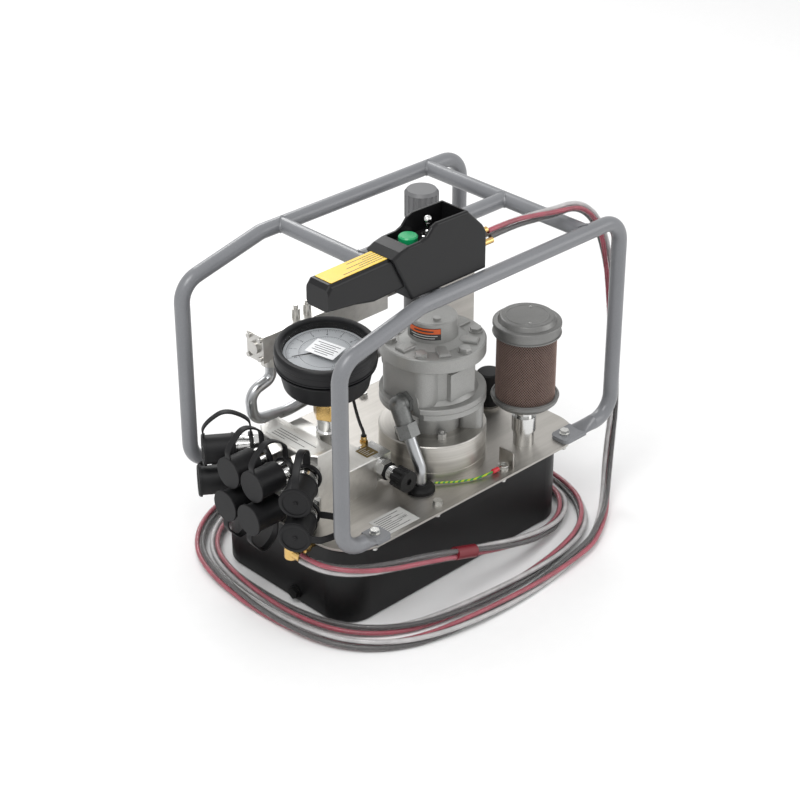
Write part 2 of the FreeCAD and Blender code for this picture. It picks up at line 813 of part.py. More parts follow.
def make_motor_end_cap():
    """Cast cover with a round boss and six low webs, with a bore for the upper bearing."""
    bearing_top = "upper_joint + 2 + bearing_width"
    cover = turned_solid([("0", bearing_top), ("bearing_radius", bearing_top),
                          ("bearing_radius", "upper_joint"),
                          ("flange_radius - 1", "upper_joint"),
                          ("flange_radius - 1", "cap_flange - 1.5"),
                          ("flange_radius - 2.5", "cap_flange"),
                          ("boss_radius + 12", "cap_flange"),
                          ("boss_radius + 1.5", "cap_flange + 5"),
                          ("boss_radius", "boss_top - 1.5"),
                          ("boss_radius - 1.5", "boss_top"), ("0", "boss_top")],
                         "motor_x", "motor_y")
    doc.recompute()
    shape = cover.Shape.copy()
    centre = around_motor(0, 0, "cap_flange - 2")
    for angle in [spot + 30 for spot in CAP_BOLT_ANGLES]:
        web = Part.makeBox(32, 15, 5.5, centre + Vector(24, -7.5, 0))
        slope = [edge for edge in web.Edges
                 if abs(edge.BoundBox.ZMin - centre.z - 5.5) < 1e-3 and edge.BoundBox.ZLength < 1e-3]
        web = web.makeFillet(2.5, slope)
        web.rotate(centre, Z_AXIS, angle)
        shape = shape.fuse(web)
    feature(shape.removeSplitter(), "motor_end_cap")


def make_motor_screws():
    head = hexagon("motor_bolt_flats", "4", z="-deck_height")
    doc.recompute()
    collar = Part.makeCylinder(8.5, 1.2)
    big = collar.fuse(head.Shape.translated(Vector(0, 0, 1.2)))
    small = hexagon("10", "7", z="-deck_height")
    doc.recompute()
    stud = small.Shape.fuse(Part.makeCylinder(3, 11))
    solids = []
    for angle in CAP_BOLT_ANGLES:
        bolt_at = around_motor(SIZES["motor_bolt_circle"], angle, "cap_flange")
        solids.append(big.translated(bolt_at))
    for angle in RING_BOLT_ANGLES:
        solids.append(stud.translated(around_motor(44, angle, "ring_height")))
    solids.append(Part.makeCylinder(4.5, 3, around_motor(16, -120, "boss_top")))
    solids.append(Part.makeCylinder(3, 2, around_motor(18, 70, "boss_top")))
    feature(Part.makeCompound(solids), "motor_screws")


def make_motor_rotor():
    """Slotted rotor and its shaft, four vanes, and two ball bearings."""
    rotor_base = "lower_joint + 1"
    rotor_top = "upper_joint - 1"
    rotor = turned_solid([("0", "26"), ("shaft_radius - 1", "26"), ("shaft_radius", "28"),
                          ("shaft_radius", rotor_base), ("rotor_radius", rotor_base),
                          ("rotor_radius", rotor_top), ("shaft_radius", rotor_top),
                          ("shaft_radius", "upper_joint + bearing_width"),
                          ("0", "upper_joint + bearing_width")], "motor_x", "motor_y")
    doc.recompute()
    shape = rotor.Shape.copy()
    base = around_motor(0, 0, rotor_base)
    height = number(rotor_top) - number(rotor_base)
    thick = SIZES["vane_thickness"]
    reach = SIZES["vane_reach"]
    vanes = []
    for angle in range(0, 360, 90):
        slot = Part.makeBox(reach - 12, thick + 0.2, height, base + Vector(13, -thick / 2 - 0.1, 0))
        vane = Part.makeBox(reach - 14, thick, height - 1, base + Vector(14, -thick / 2, 0.5))
        slot.rotate(base, Z_AXIS, angle)
        vane.rotate(base, Z_AXIS, angle)
        shape = shape.cut(slot)
        vanes.append(vane)
    feature(shape, "motor_rotor")
    feature(Part.makeCompound(vanes), "motor_vanes")
    race = [("shaft_radius + 0.05", "0"), ("bearing_radius - 0.1", "0"),
            ("bearing_radius - 0.1", "bearing_width - 0.5"),
            ("shaft_radius + 0.05", "bearing_width - 0.5")]
    bearing = turned_solid(race, z="-deck_height")
    seats = [around_motor(0, 0, "lower_joint - bearing_width + 0.2"),
             around_motor(0, 0, "upper_joint + 0.2")]
    bearings = copies(bearing, [Placement(seat, UPRIGHT) for seat in seats])
    feature(Part.makeCompound(bearings), "motor_bearings")


def make_pump():
    """Coupling and shaft down to a two-stage pump hung under the deck."""
    turned("drive_shaft", [("0", "-30"), ("6", "-30"), ("6", "8"), ("14", "8"), ("14", "46"),
                           ("shaft_radius + 0.05", "46"), ("shaft_radius + 0.05", "25"),
                           ("0", "25")], "motor_x", "motor_y")
    pump = turned_solid([("0", "-pump_height"), ("pump_radius", "-pump_height"),
                         ("pump_radius", "-9"), ("pump_radius + 6", "-9"),
                         ("pump_radius + 6", "-deck_thickness"), ("24", "-deck_thickness"),
                         ("24", "0"), ("6.05", "0"), ("6.05", "-32"), ("0", "-32")],
                        "motor_x", "motor_y")
    bell = cylinder("14", "26", "motor_x", "motor_y", "-pump_height - 24")
    arm = cylinder("8", "motor_x - riser_x", "motor_x", "motor_y", "riser_base", AGAINST_X)
    riser = cylinder("8", "-deck_thickness - riser_base + 12", "riser_x", "motor_y",
                     "riser_base - 12")
    doc.recompute()
    pieces = [bell.Shape, arm.Shape, riser.Shape]
    bore = Part.makeCylinder(6.05, 32, point("motor_x", "motor_y", "-32"))
    feature(pump.Shape.fuse(pieces).cut(bore).removeSplitter(), "pump_block")


def make_exhaust():
    """Street elbow and compression nut, and the steel tube down through the grommet."""
    slant = (point("elbow_x", "-67", "61") - point("elbow_x", "port_y + 1", "port_z - 6"))
    slant.normalize()
    corner = point("elbow_x", "port_y", "port_z")
    arm_start = point("port_face", "port_y", "port_z")
    arm = Part.makeCylinder(SIZES["elbow_radius"], 12, arm_start, -X_AXIS)
    knuckle = Part.makeSphere(SIZES["elbow_radius"] + 0.5, corner)
    hex_collar = hexagon("24", "5", "port_face", "port_y", "port_z", AGAINST_X)
    doc.recompute()
    leg = Part.makeCylinder(SIZES["elbow_radius"], 24, corner, slant)
    nut_turn = Rotation(Z_AXIS, slant)
    nut = hexagon("25", "17", z="-deck_height")
    doc.recompute()
    nut_shape = nut.Shape.copy()
    nut_shape.Placement = Placement(corner + slant * 24, nut_turn)
    solid = arm.fuse([knuckle, hex_collar.Shape, leg, nut_shape]).removeSplitter()
    feature(solid, "exhaust_elbow")
    start = corner + slant * 41
    knee = start + slant * ((SIZES["exhaust_y"] - start.y) / slant.y)
    foot = Vector(knee.x, knee.y, SIZES["deck_height"] - 30)
    feature(bent_tube([start, knee, foot], SIZES["exhaust_radius"], 24), "exhaust_tube")
    turned("tube_grommet", [("exhaust_radius + 0.1", "-5"), ("12.8", "-5"), ("12.8", "0"),
                            ("grommet_radius", "0"), ("grommet_radius", "4"),
                            ("grommet_radius - 3", "7"), ("exhaust_radius + 3", "9"),
                            ("exhaust_radius + 0.1", "9")], "elbow_x", "exhaust_y")


# ---------------------------------------------------------------- muffler

def make_muffler():
    turned("muffler_fitting", [("0", "-10"), ("7.5", "-10"), ("7.5", "0"), ("13", "0"),
                               ("13", "20"), ("15", "20"), ("15", "40"), ("11", "40"),
                               ("11", "muffler_base_z"), ("0", "muffler_base_z")],
           "muffler_x", "muffler_y")
    base = turned("muffler_base", [("0", "muffler_base_z"), ("18", "muffler_base_z"),
                                   ("muffler_base_radius - 6", "muffler_base_z + 5"),
                                   ("muffler_base_radius", "muffler_base_z + 11"),
                                   ("muffler_base_radius", "mesh_base_z + 2"),
                                   ("muffler_base_radius - 1.6", "mesh_base_z + 2"),
                                   ("muffler_base_radius - 1.6", "mesh_base_z"),
                                   ("0", "mesh_base_z")], "muffler_x", "muffler_y")
    round_edges(base, "3", level_at(number("muffler_base_z + 11"), 30))
    turned("muffler_mesh", [("mesh_radius - 2", "mesh_base_z"), ("mesh_radius", "mesh_base_z"),
                            ("mesh_radius", "mesh_top_z"), ("mesh_radius - 2", "mesh_top_z")],
           "muffler_x", "muffler_y")
    cap = turned("muffler_cap", [("0", "mesh_top_z"), ("mesh_radius + 2.2", "mesh_top_z"),
                                 ("mesh_radius + 2.2", "mesh_top_z - 3"),
                                 ("mesh_radius + 3.6", "mesh_top_z - 3"),
                                 ("mesh_radius + 3.6", "muffler_rim_z - 5"),
                                 ("mesh_radius + 5", "muffler_rim_z - 5"),
                                 ("mesh_radius + 5", "muffler_rim_z - 1"),
                                 ("mesh_radius - 1", "muffler_rim_z"),
                                 ("mesh_radius - 4", "muffler_top_z"), ("0", "muffler_top_z")],
                 "muffler_x", "muffler_y")
    round_edges(cap, "1.8", level_at(number("muffler_rim_z - 1"), 30))
    round_edges(cap, "2.5", level_at(number("muffler_top_z"), 30))


# ---------------------------------------------------------------- hydraulic blocks

def make_blocks():
    manifold = new_body("coupler_manifold")
    outline = sketch_on(manifold, "XY_Plane")
    draw_outline(outline, [("manifold_front", "-manifold_face_half"),
                           ("manifold_side", "-manifold_half"),
                           ("manifold_back", "-manifold_half"), ("manifold_back", "manifold_half"),
                           ("manifold_side", "manifold_half"),
                           ("manifold_front", "manifold_face_half")])
    pad(manifold, outline, "manifold_height")
    round_edges(manifold, "1", level_at(number("manifold_height")), "Chamfer")
    put(manifold)
    valve = new_body("valve_block")
    outline = sketch_on(valve, "XY_Plane")
    draw_outline(outline, rectangle("manifold_back", "block_right", "block_near", "block_far"))
    pad(valve, outline, "block_height")
    round_edges(valve, "1", level_at(number("block_height")), "Chamfer")
    put(valve)


def make_relief_valve():
    """Cartridge screwed into the block, with a fluted knob on its stem."""
    place = {"x": "relief_x", "z": "relief_z", "turn": AGAINST_Y}
    base = block("block_right", "relief_x + 17", "relief_start", "relief_start + 34",
                 "relief_z - 17", "relief_z + 15")
    body = cylinder("10", "10", y="relief_start", **place)
    nut = hexagon("21", "9", y="relief_start - 4", **place)
    neck = cylinder("8.5", "16", y="relief_start - 10", **place)
    stem_bore = cylinder("relief_stem + 0.05", "12", y="relief_start - 16", **place)
    keep(cut(joined(base, body, nut, neck), stem_bore), "relief_valve")
    doc.recompute()
    start = point("relief_x", "relief_knob_start", "relief_z")
    length = SIZES["relief_knob_length"]
    radius = SIZES["relief_knob_radius"]
    knob = Part.makeCylinder(radius, length, start, -Y_AXIS)
    stem = Part.makeCylinder(SIZES["relief_stem"], 10, start, Y_AXIS)
    for angle in range(0, 360, 45):
        turn = math.radians(angle)
        middle = start + Vector(math.cos(turn), 0, math.sin(turn)) * (radius + 1.6)
        flute = Part.makeCylinder(3.6, length - 4, middle, -Y_AXIS)
        knob = knob.cut(flute)
    socket = Part.makeCylinder(4, 3, start + Vector(0, 3 - length, 0), -Y_AXIS)
    feature(knob.cut(socket).fuse(stem).removeSplitter(), "relief_knob")


COUPLER_SPOTS = [(row, column) for row in ("upper", "lower") for column in (2, 1, -1, -2)]


def coupler_frame(row, column):
    """Where a coupler leaves the manifold: local Z runs outwards along its axis."""
    side = 1 if column > 0 else -1
    height = SIZES["deck_height"] + SIZES[f"{row}_row"]
    if abs(column) == 1:
        base = Vector(SIZES["manifold_front"], side * SIZES["inner_column"], height)
        heading = 180
    else:
        base = Vector(SIZES["outer_face_x"], side * SIZES["outer_column"], height)
        heading = 180 - side * SIZES["outer_turn"]
    outward = Rotation(Z_AXIS, heading) * Rotation(Y_AXIS, 90)
    return Placement(base, outward)


def coupler_reach(row, column):
    return SIZES[f"{row}_reach"] + (5 if abs(column) == 2 else 0)


def make_couplers():
    solids = []
    for row, column in COUPLER_SPOTS:
        reach = coupler_reach(row, column)
        mouth = reach - SIZES["cap_length"]
        flats = hexagon("coupler_flats", "9", z="-deck_height")
        doc.recompute()
        body = Part.makeCylinder(SIZES["coupler_radius"], mouth + 27)
        sleeve = Part.makeCylinder(SIZES["coupler_radius"] + 1.2, 10, Vector(0, 0, mouth - 12))
        bore = Part.makeCylinder(6, 24, Vector(0, 0, mouth + 4))
        solid = body.fuse([flats.Shape, sleeve]).cut(bore)
        solid.Placement = coupler_frame(row, column)
        solids.append(solid)
        doc.removeObject(flats.Name)
    feature(Part.makeCompound(solids), "couplers")


def make_dust_caps():
    """Moulded caps, each a cup with a wider end disc."""
    for index, (row, column) in enumerate(COUPLER_SPOTS, start=1):
        cup = turned(f"dust_cap_{index}", [("0", "cap_length - 8"), ("cap_bore", "cap_length - 8"),
                                           ("cap_bore", "0"), ("cap_radius", "0"),
                                           ("cap_radius", "cap_length - cap_disc"),
                                           ("cap_disc_radius", "cap_length - cap_disc"),
                                           ("cap_disc_radius", "cap_length"), ("0", "cap_length")])
        round_edges(cup, "0.8", level_at(SIZES["cap_length"], 5))
        for name in "xyz":
            cup.setExpression(f"Placement.Base.{name}", None)
        frame = coupler_frame(row, column)
        offset = Vector(0, 0, coupler_reach(row, column) - SIZES["cap_length"])
        cup.Placement = frame * Placement(offset, UPRIGHT)


def strap_band(start, end, rise):
    """A flat band bent in an arc from the cap's disc back to the neck ring."""
    thick = SIZES["strap_thickness"]
    width = SIZES["strap_width"]
    level = SIZES["cap_disc_radius"] + 0.5
    middle = (start + end) / 2
    inner = Part.Arc(Vector(level, 0, end), Vector(level + rise, 0, middle),
                     Vector(level, 0, start)).toShape()
    outer = Part.Arc(Vector(level, 0, end + thick), Vector(level + rise + thick, 0, middle),
                     Vector(level, 0, start - thick)).toShape()
    sides = [Part.LineSegment(Vector(level, 0, start), Vector(level, 0, start - thick)).toShape(),
             Part.LineSegment(Vector(level, 0, end), Vector(level, 0, end + thick)).toShape()]
    outline = Part.Wire(Part.__sortEdges__([inner, outer] + sides))
    band = Part.Face(outline).extrude(Vector(0, width, 0))
    band.translate(Vector(0, -width / 2, 0))
    return band


def make_cap_straps():
    solids = []
    for row, column in COUPLER_SPOTS:
        reach = coupler_reach(row, column)
        ring_at = 9.5 if row == "upper" else 20
        if row == "lower" and abs(column) == 1:
            ring_at = 28
        neck = SIZES["coupler_radius"] + (1.4 if ring_at > reach - 50 else 0.3)
        ring = Part.makeCylinder(neck + 2.6, 4, Vector(0, 0, ring_at))
        ring = ring.cut(Part.makeCylinder(neck, 4, Vector(0, 0, ring_at)))
        band = strap_band(ring_at + 2, reach - 4, SIZES["strap_rise"])
        link = Part.makeBox(SIZES["cap_disc_radius"] + 0.5 - neck, SIZES["strap_width"], 4,
                            Vector(neck + 1, -SIZES["strap_width"] / 2, ring_at))
        strap = band.fuse([ring, link]).removeSplitter()
        if row == "upper":
            roll = 180
        elif abs(column) == 1:
            roll = 0
        else:
            roll = -90 if column > 0 else 90
        frame = coupler_frame(row, column)
        strap.Placement = frame * Placement(Vector(), Rotation(Z_AXIS, roll))
        solids.append(strap)
    feature(Part.makeCompound(solids), "cap_straps")


# ---------------------------------------------------------------- pressure gauge

GAUGE_TURN = Rotation(Vector(1, -1, 0), SIZES["gauge_tilt"])


def gauge_piece(label, profile):
    return turned(label, profile, "gauge_x", "gauge_y", "gauge_z", GAUGE_TURN)


def make_gauge():
    """A case with its dial plane at local height 0, in a rubber boot."""
    gauge_piece("gauge_case", [("0", "-gauge_depth + 5"), ("gauge_radius - 10", "-gauge_depth + 5"),
                               ("gauge_radius - 5", "-6"), ("gauge_radius - 5", "7"),
                               ("dial_radius + 1", "7"), ("dial_radius + 1", "-1"), ("0", "-1")])
    boot = gauge_piece("gauge_boot", [("18", "-gauge_depth"), ("gauge_radius - 9", "-gauge_depth"),
                                      ("gauge_radius - 2.5", "-10"), ("gauge_radius", "-9"),
                                      ("gauge_radius", "7"), ("gauge_radius - 3", "9.5"),
                                      ("dial_radius + 2", "9.5"), ("dial_radius + 2", "7.2"),
                                      ("gauge_radius - 4.8", "7.2"), ("gauge_radius - 4.8", "-6"),
                                      ("gauge_radius - 9.8", "-gauge_depth + 4.8"),
                                      ("18", "-gauge_depth + 4.8")])
    round_edges(boot, "2", level_at(number("-gauge_depth"), 30))
    gauge_piece("gauge_lens", [("0", "4.6"), ("dial_radius + 0.8", "4.6"),
                               ("dial_radius + 0.8", "6.6"), ("0", "6.6")])
    hand = new_body("gauge_pointer")
    outline = sketch_on(hand, "XY_Plane", "1.4")
    draw_outline(outline, [("-dial_radius + 9", "0"), ("-4", "-1.3"), ("13", "-1.7"),
                           ("13", "1.7"), ("-4", "1.3")])
    pad(hand, outline, "0.8")
    hub = sketch_on(hand, "XY_Plane", "0.6")
    draw_circles(hub, "3.2", [("0", "0")])
    pad(hand, hub, "2.4")
    zero_turn = GAUGE_TURN * Rotation(Z_AXIS, SIZES["pointer_zero"])
    put(hand, "gauge_x", "gauge_y", "gauge_z", zero_turn)
    swivel = turned_solid([("0", "-148"), ("9", "-148"), ("9", "-128"), ("14", "-126"),
                           ("14", "-108"), ("12", "-106"), ("12", "-90"), ("14.5", "-88"),
                           ("14.5", "-66"), ("11", "-64"), ("11", "-56"), ("0", "-56")],
                          "gauge_x", "gauge_y", "gauge_z", GAUGE_TURN)
    brass = hexagon("24", "19", "gauge_x", "gauge_y", "gauge_z", GAUGE_TURN)
    doc.recompute()
    brass_shape = brass.Shape.copy()
    brass_shape.translate(GAUGE_TURN.multVec(Vector(0, 0, -SIZES["gauge_depth"] - 14)))
    foot = hexagon("32", "12", "-141", "-16", "block_height")
    doc.recompute()
    feature(swivel.Shape.fuse([brass_shape, foot.Shape]).removeSplitter(), "gauge_fitting")


# ---------------------------------------------------------------- air supply

def make_air_valve():
    """Directional valve bar with end caps, two solenoid pilots and a pipe nipple."""
    bar = block("valve_left", "valve_right", "valve_near", "valve_far", "valve_base", "valve_top")
    left_cap = block("valve_left - 9", "valve_left", "valve_near - 1", "valve_far + 1",
                     "valve_base - 1", "valve_top + 1")
    pilot_cap = cylinder("8", "4", "valve_left - 9", "(valve_near + valve_far) / 2",
                         "(valve_base + valve_top) / 2", AGAINST_X)
    screws = []
    for y in ("valve_near + 4", "valve_far - 4"):
        for z in ("valve_base + 4", "valve_top - 4"):
            screws.append(cylinder("3", "3.5", "valve_left - 9", y, z, AGAINST_X))
    pilots = [cylinder("5", "12", x, "(valve_near + valve_far) / 2", "valve_top")
              for x in ("-89", "-71")]
    stems = [cylinder("3", "17", x, "(valve_near + valve_far) / 2", "valve_top")
             for x in ("-89", "-71")]
    outlet = cylinder("12", "16", "valve_left + 14", "96", "valve_base - 14")
    nipple = cylinder("9", "regulator_x - regulator_half - valve_right", "valve_right",
                      "96", "158", ALONG_X)
    keep(joined(bar, left_cap, pilot_cap, outlet, nipple, *screws, *pilots, *stems), "air_valve")


def make_air_tube():
    """Steel tube from the valve's outlet, down and round behind the gauge to the motor."""
    points = [point("-131", "96", "126.5"), point("-131", "96", "107"), point("-164", "97", "98"),
              point("-160", "98", "58"), point("-108", "96", "52"), point("-60", "90", "62"),
              point("-20", "58", "100"), point("motor_x - 12", "36", "122"),
              point("motor_x - 12", "20.2", "122")]
    path_radii = [12, 17, 20, 60, 40, 26, 14]
    feature(round_bar(points, path_radii, SIZES["air_tube_radius"])[0], "air_tube")


def make_regulator():
    """Filter-regulator on its bracket: body, bowl and adjusting knob on one axis."""
    half = "regulator_half"
    core = block(f"regulator_x - {half}", f"regulator_x + {half}", f"regulator_y - {half}",
                 f"regulator_y + {half}", "regulator_base + 8", "regulator_top - 12")
    top = turned_solid([("0", "regulator_base"), ("24", "regulator_base"),
                        ("26", "regulator_base + 8"), ("26", "regulator_top - 12"),
                        ("21", "regulator_top"), ("17", "knob_base - 1"), ("0", "knob_base - 1")],
                       "regulator_x", "regulator_y")
    arm = block("regulator_x - 16", "regulator_x + 16", "bracket_y + 3",
                f"regulator_y - {half} + 2", "168", "196")
    inlet = cylinder("inlet_radius", "inlet_depth", f"regulator_x + {half}", "regulator_y",
                     "176", AGAINST_X)
    doc.recompute()
    core_edges = [edge for edge in core.Shape.Edges if is_upright(edge)]
    core_shape = core.Shape.makeFillet(6, core_edges)
    shape = core_shape.fuse([top.Shape, arm.Shape]).cut(inlet.Shape)
    feature(shape.removeSplitter(), "regulator_body")
    bowl = turned("filter_bowl", [("0", "bowl_base"), ("6", "bowl_base"), ("6", "bowl_base + 8"),
                                  ("bowl_radius - 8", "bowl_base + 10"),
                                  ("bowl_radius", "bowl_base + 18"),
                                  ("bowl_radius", "regulator_base"), ("0", "regulator_base")],
                  "regulator_x", "regulator_y")
    round_edges(bowl, "4", level_at(number("bowl_base + 18"), 15))
    knob = turned_solid([("0", "knob_base"), ("knob_radius - 1", "knob_base"),
                         ("knob_radius", "knob_base + 2"), ("knob_radius", "knob_top - 4"),
                         ("knob_radius - 3", "knob_top"), ("0", "knob_top")],
                        "regulator_x", "regulator_y")
    doc.recompute()
    shape = knob.Shape.copy()
    grooves = []
    for angle in range(0, 360, 20):
        turn = math.radians(angle)
        reach = SIZES["knob_radius"] + 1
        at = Vector(SIZES["regulator_x"] + reach * math.cos(turn),
                    SIZES["regulator_y"] + reach * math.sin(turn),
                    SIZES["deck_height"] + SIZES["knob_base"] + 5)
        grooves.append(Part.makeCylinder(2, SIZES["knob_top"] - SIZES["knob_base"] - 9, at))
    feature(shape.cut(grooves), "regulator_knob")
    plate = block("bracket_left", "bracket_right", "bracket_y", "bracket_y + 3", "0",
                  "bracket_top")
    foot = block("bracket_left", "bracket_right", "bracket_y", "bracket_y + 28", "0", "3")
    keep(joined(plate, foot), "air_bracket")


# ---------------------------------------------------------------- pendant control

def make_pendant():
    """Hand control lying on the frame: a head with an open well, and a grip."""
    body = new_body("pendant_body")
    grip = sketch_on(body, "XZ_Plane")
    draw_outline(grip, [("grip_left", "grip_base + 5"), ("-196", "grip_base"),
                        ("-168", "grip_base - 6"), ("-112", "grip_base - 4"),
                        ("-112", "grip_top"), ("grip_left + 4", "grip_top - 2"),
                        ("grip_left", "grip_top - 7")])
    pad(body, grip, "grip_width", midplane=True)
    def side_edge(edge):
        box = edge.BoundBox
        return box.YLength < 1e-3 and abs(box.XMin - box.XMax) > 1
    round_edges(body, "5", side_edge)
    side = sketch_on(body, "XZ_Plane")
    draw_outline(side, [("-116", "pendant_base"), ("0", "pendant_base"), ("0", "335"),
                        ("-6", "345"), ("-30", "369"), ("-78", "pendant_top"), ("-86", "367"),
                        ("-94", "358.5"), ("-102", "355.5"), ("-122", "355"), ("-134", "352.5"),
                        ("-146", "347.5")])
    pad(body, side, "pendant_width", midplane=True)
    def head_edge(edge):
        box = edge.BoundBox
        return abs(abs(box.Center.y) - SIZES["pendant_width"] / 2) < 1e-3 and box.YLength < 1e-3
    round_edges(body, "3", head_edge)
    well = sketch_on(body, "XY_Plane", "cavity_floor")
    draw_outline(well, rectangle("-119", "-32", "-17.5", "17.5"))
    pocket(body, well, "40")
    stem = sketch_on(body, "XY_Plane", "cavity_floor - 14")
    draw_circles(stem, "6", [("button_x", "0")])
    pocket(body, stem, "20")
    put(body, y="pendant_y")
    turned("pendant_button", [("0", "-9"), ("5.6", "-9"), ("5.6", "3.8"), ("button_radius", "3.8"),
                              ("button_radius", "10"), ("button_radius - 1.5", "11.5"),
                              ("0", "11.5")], "button_x", "pendant_y", "cavity_floor")
    lever = cylinder("2.6", "17", "toggle_x", "pendant_y + 2", "cavity_floor + 1.6")
    tip = ball("5", "toggle_x", "pendant_y + 2", "cavity_floor + 19")
    root = ball("4.2", "toggle_x", "pendant_y + 2", "cavity_floor + 4.6")
    keep(joined(lever, tip, root), "pendant_toggle")
    barbs = []
    for y, z in (("pendant_y - 9", "313"), ("pendant_y + 9", "313"), ("pendant_y", "323")):
        barbs.append(hexagon("12", "5", "0", y, z, ALONG_X))
        barbs.append(cylinder("3.6", "barb_length", "0", y, z, ALONG_X))
    collar = cylinder("16", "3", "0", "pendant_y", "316", ALONG_X)
    keep(joined(collar, *barbs), "pendant_barbs")


# ---------------------------------------------------------------- hose bundle

COIL_CENTRE = (-14, 0)
COIL_START, COIL_STEP, COIL_POINTS = -66, -22.5, 31
COIL_HALF_LENGTH = (254, 214)
COIL_HALF_WIDTH = (216, 173)
COIL_SQUARENESS = 0.7


def coil_points():
    """The turns that lie on the floor round the reservoir, each inside the last."""
    height = SIZES["hose_radius"]
    points = []
    for i in range(COIL_POINTS):
        share = i / (COIL_POINTS - 1)
        angle = math.radians(COIL_START + COIL_STEP * i)
        half_length = COIL_HALF_LENGTH[0] + (COIL_HALF_LENGTH[1] - COIL_HALF_LENGTH[0]) * share
        half_width = COIL_HALF_WIDTH[0] + (COIL_HALF_WIDTH[1] - COIL_HALF_WIDTH[0]) * share
        wave = 3 * math.sin(2.3 * angle)
        across = math.copysign(abs(math.cos(angle)) ** COIL_SQUARENESS, math.cos(angle))
        along = math.copysign(abs(math.sin(angle)) ** COIL_SQUARENESS, math.sin(angle))
        points.append(Vector(COIL_CENTRE[0] + (half_length + wave) * across,
                             COIL_CENTRE[1] + (half_width + wave) * along, height))
    return points


DROP = [(24.5, -110, 436), (62, -109, 437), (104, -106, 431), (146, -103, 423),
        (182, -104, 421), (209, -106, 403), (226, -109, 374), (236, -112, 334),
        (245, -114, 284), (253, -115, 226), (257, -116, 168), (257, -117, 118),
        (252, -119, 74), (241, -127, 40), (222, -143, 19), (194, -164, 10), (158, -184, 8)]
RISE = [(168, -120, 9), (130, -142, 12), (82, -152, 20), (28, -160, 36), (-30, -162, 56),
        (-84, -162, 74), (-130, -163, 88), (-170, -160, 96), (-203, -148, 100),
        (-227, -126, 101), (-238, -99, 100.5)]


def make_hose():
    """Three clear hoses taped into one bundle, from the pendant to the elbows."""
    end = point("hose_end_x", "hose_end_y", "hose_end_z")
    route = [Vector(*spot) for spot in DROP] + coil_points() + [Vector(*spot) for spot in RISE]
    route.append(end)
    radii = []
    for i in range(1, len(route) - 1):
        before, corner, after = route[i - 1:i + 2]
        shorter = min((corner - before).Length, (after - corner).Length)
        radii.append(0.45 * shorter / math.tan(half_turn_at(before, corner, after)))
    hose, length = round_bar(route, radii, SIZES["hose_radius"])
    print("hose length", round(length), "least bend radius", round(min(radii)))
    print("bend radii", [round(radius) for radius in radii])
    feature(hose, "hose_bundle")
    elbow = point("hose_end_x", "hose_end_y + 0.2", "hose_end_z")
    corner = elbow + Vector(0, 18, 0)
    barb = Part.makeCylinder(6.5, 18, elbow, Y_AXIS)
    forging = Part.makeCylinder(9, 18, corner - Vector(0, 0, 9))
    forging = forging.makeFillet(3, [edge for edge in forging.Edges if edge.BoundBox.ZLength < 1])
    leg = Part.makeCylinder(7.5, SIZES["tank_left"] - corner.x, corner, X_AXIS)
    nut = Part.makeCylinder(10, 8, corner + Vector(14, 0, 0), X_AXIS)
    feature(forging.fuse([barb, leg, nut]).removeSplitter(), "hose_elbow")


# ---------------------------------------------------------------- the whole unit

make_reservoir_tank()
make_tank_gasket()
make_top_plate()
make_deck_screws()
make_drain_plug()
make_filler()
make_earth_lead()
make_hoop("near_hoop", -1)
make_hoop("far_hoop", 1)
make_crossbars()
make_mount_ring()
make_motor_foot()
make_motor_cylinder()
make_motor_end_cap()
make_motor_screws()
make_motor_rotor()
make_pump()
make_exhaust()
make_muffler()
make_blocks()
make_relief_valve()
make_couplers()
make_dust_caps()
make_cap_straps()
make_gauge()
make_air_valve()
make_air_tube()
make_regulator()
make_pendant()
make_hose()

doc.removeObject(working.Name)
doc.recompute()

failed = [thing.Label for thing in doc.Objects
          if any(state in ("Invalid", "Error") for state in thing.State)]
if failed:
    raise ValueError(f"features failed: {failed}")
for part in PARTS:
    if part.Shape.isNull() or not part.Shape.isValid():
        raise ValueError(f"{part.Label} has no valid shape")

os.makedirs("parts", exist_ok=True)
for part in PARTS:
    part.Shape.exportStep(f"parts/{part.Label}.step")
print(len(PARTS), "sub-parts written")
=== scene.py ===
"""The looks of an air-driven hydraulic power unit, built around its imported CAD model."""

import json
import math

import bmesh
import bpy
from mathutils import Matrix, Vector


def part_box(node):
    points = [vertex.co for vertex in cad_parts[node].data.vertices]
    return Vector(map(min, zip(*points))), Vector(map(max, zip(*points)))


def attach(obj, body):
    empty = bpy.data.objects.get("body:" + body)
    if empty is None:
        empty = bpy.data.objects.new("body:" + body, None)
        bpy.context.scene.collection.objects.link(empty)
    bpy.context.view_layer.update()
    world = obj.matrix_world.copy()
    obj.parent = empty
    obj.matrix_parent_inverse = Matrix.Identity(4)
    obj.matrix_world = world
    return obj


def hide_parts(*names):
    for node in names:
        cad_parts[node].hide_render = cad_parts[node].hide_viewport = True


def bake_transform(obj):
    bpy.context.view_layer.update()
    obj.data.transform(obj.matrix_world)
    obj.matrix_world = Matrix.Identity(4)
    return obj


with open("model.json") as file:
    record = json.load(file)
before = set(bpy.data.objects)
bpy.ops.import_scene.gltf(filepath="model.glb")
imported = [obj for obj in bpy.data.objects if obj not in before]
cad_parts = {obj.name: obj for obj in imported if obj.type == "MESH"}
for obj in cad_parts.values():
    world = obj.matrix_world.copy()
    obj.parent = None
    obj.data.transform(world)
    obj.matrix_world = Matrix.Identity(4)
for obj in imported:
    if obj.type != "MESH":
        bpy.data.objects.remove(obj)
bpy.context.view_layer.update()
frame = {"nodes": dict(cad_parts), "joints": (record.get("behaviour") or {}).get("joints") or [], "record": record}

MM = 0.001
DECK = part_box("top_plate")[0].z + 3 * MM
FULL_TURN = 2 * math.pi
UP = Vector((0, 0, 1))


def middle(node):
    low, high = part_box(node)
    return (low + high) / 2


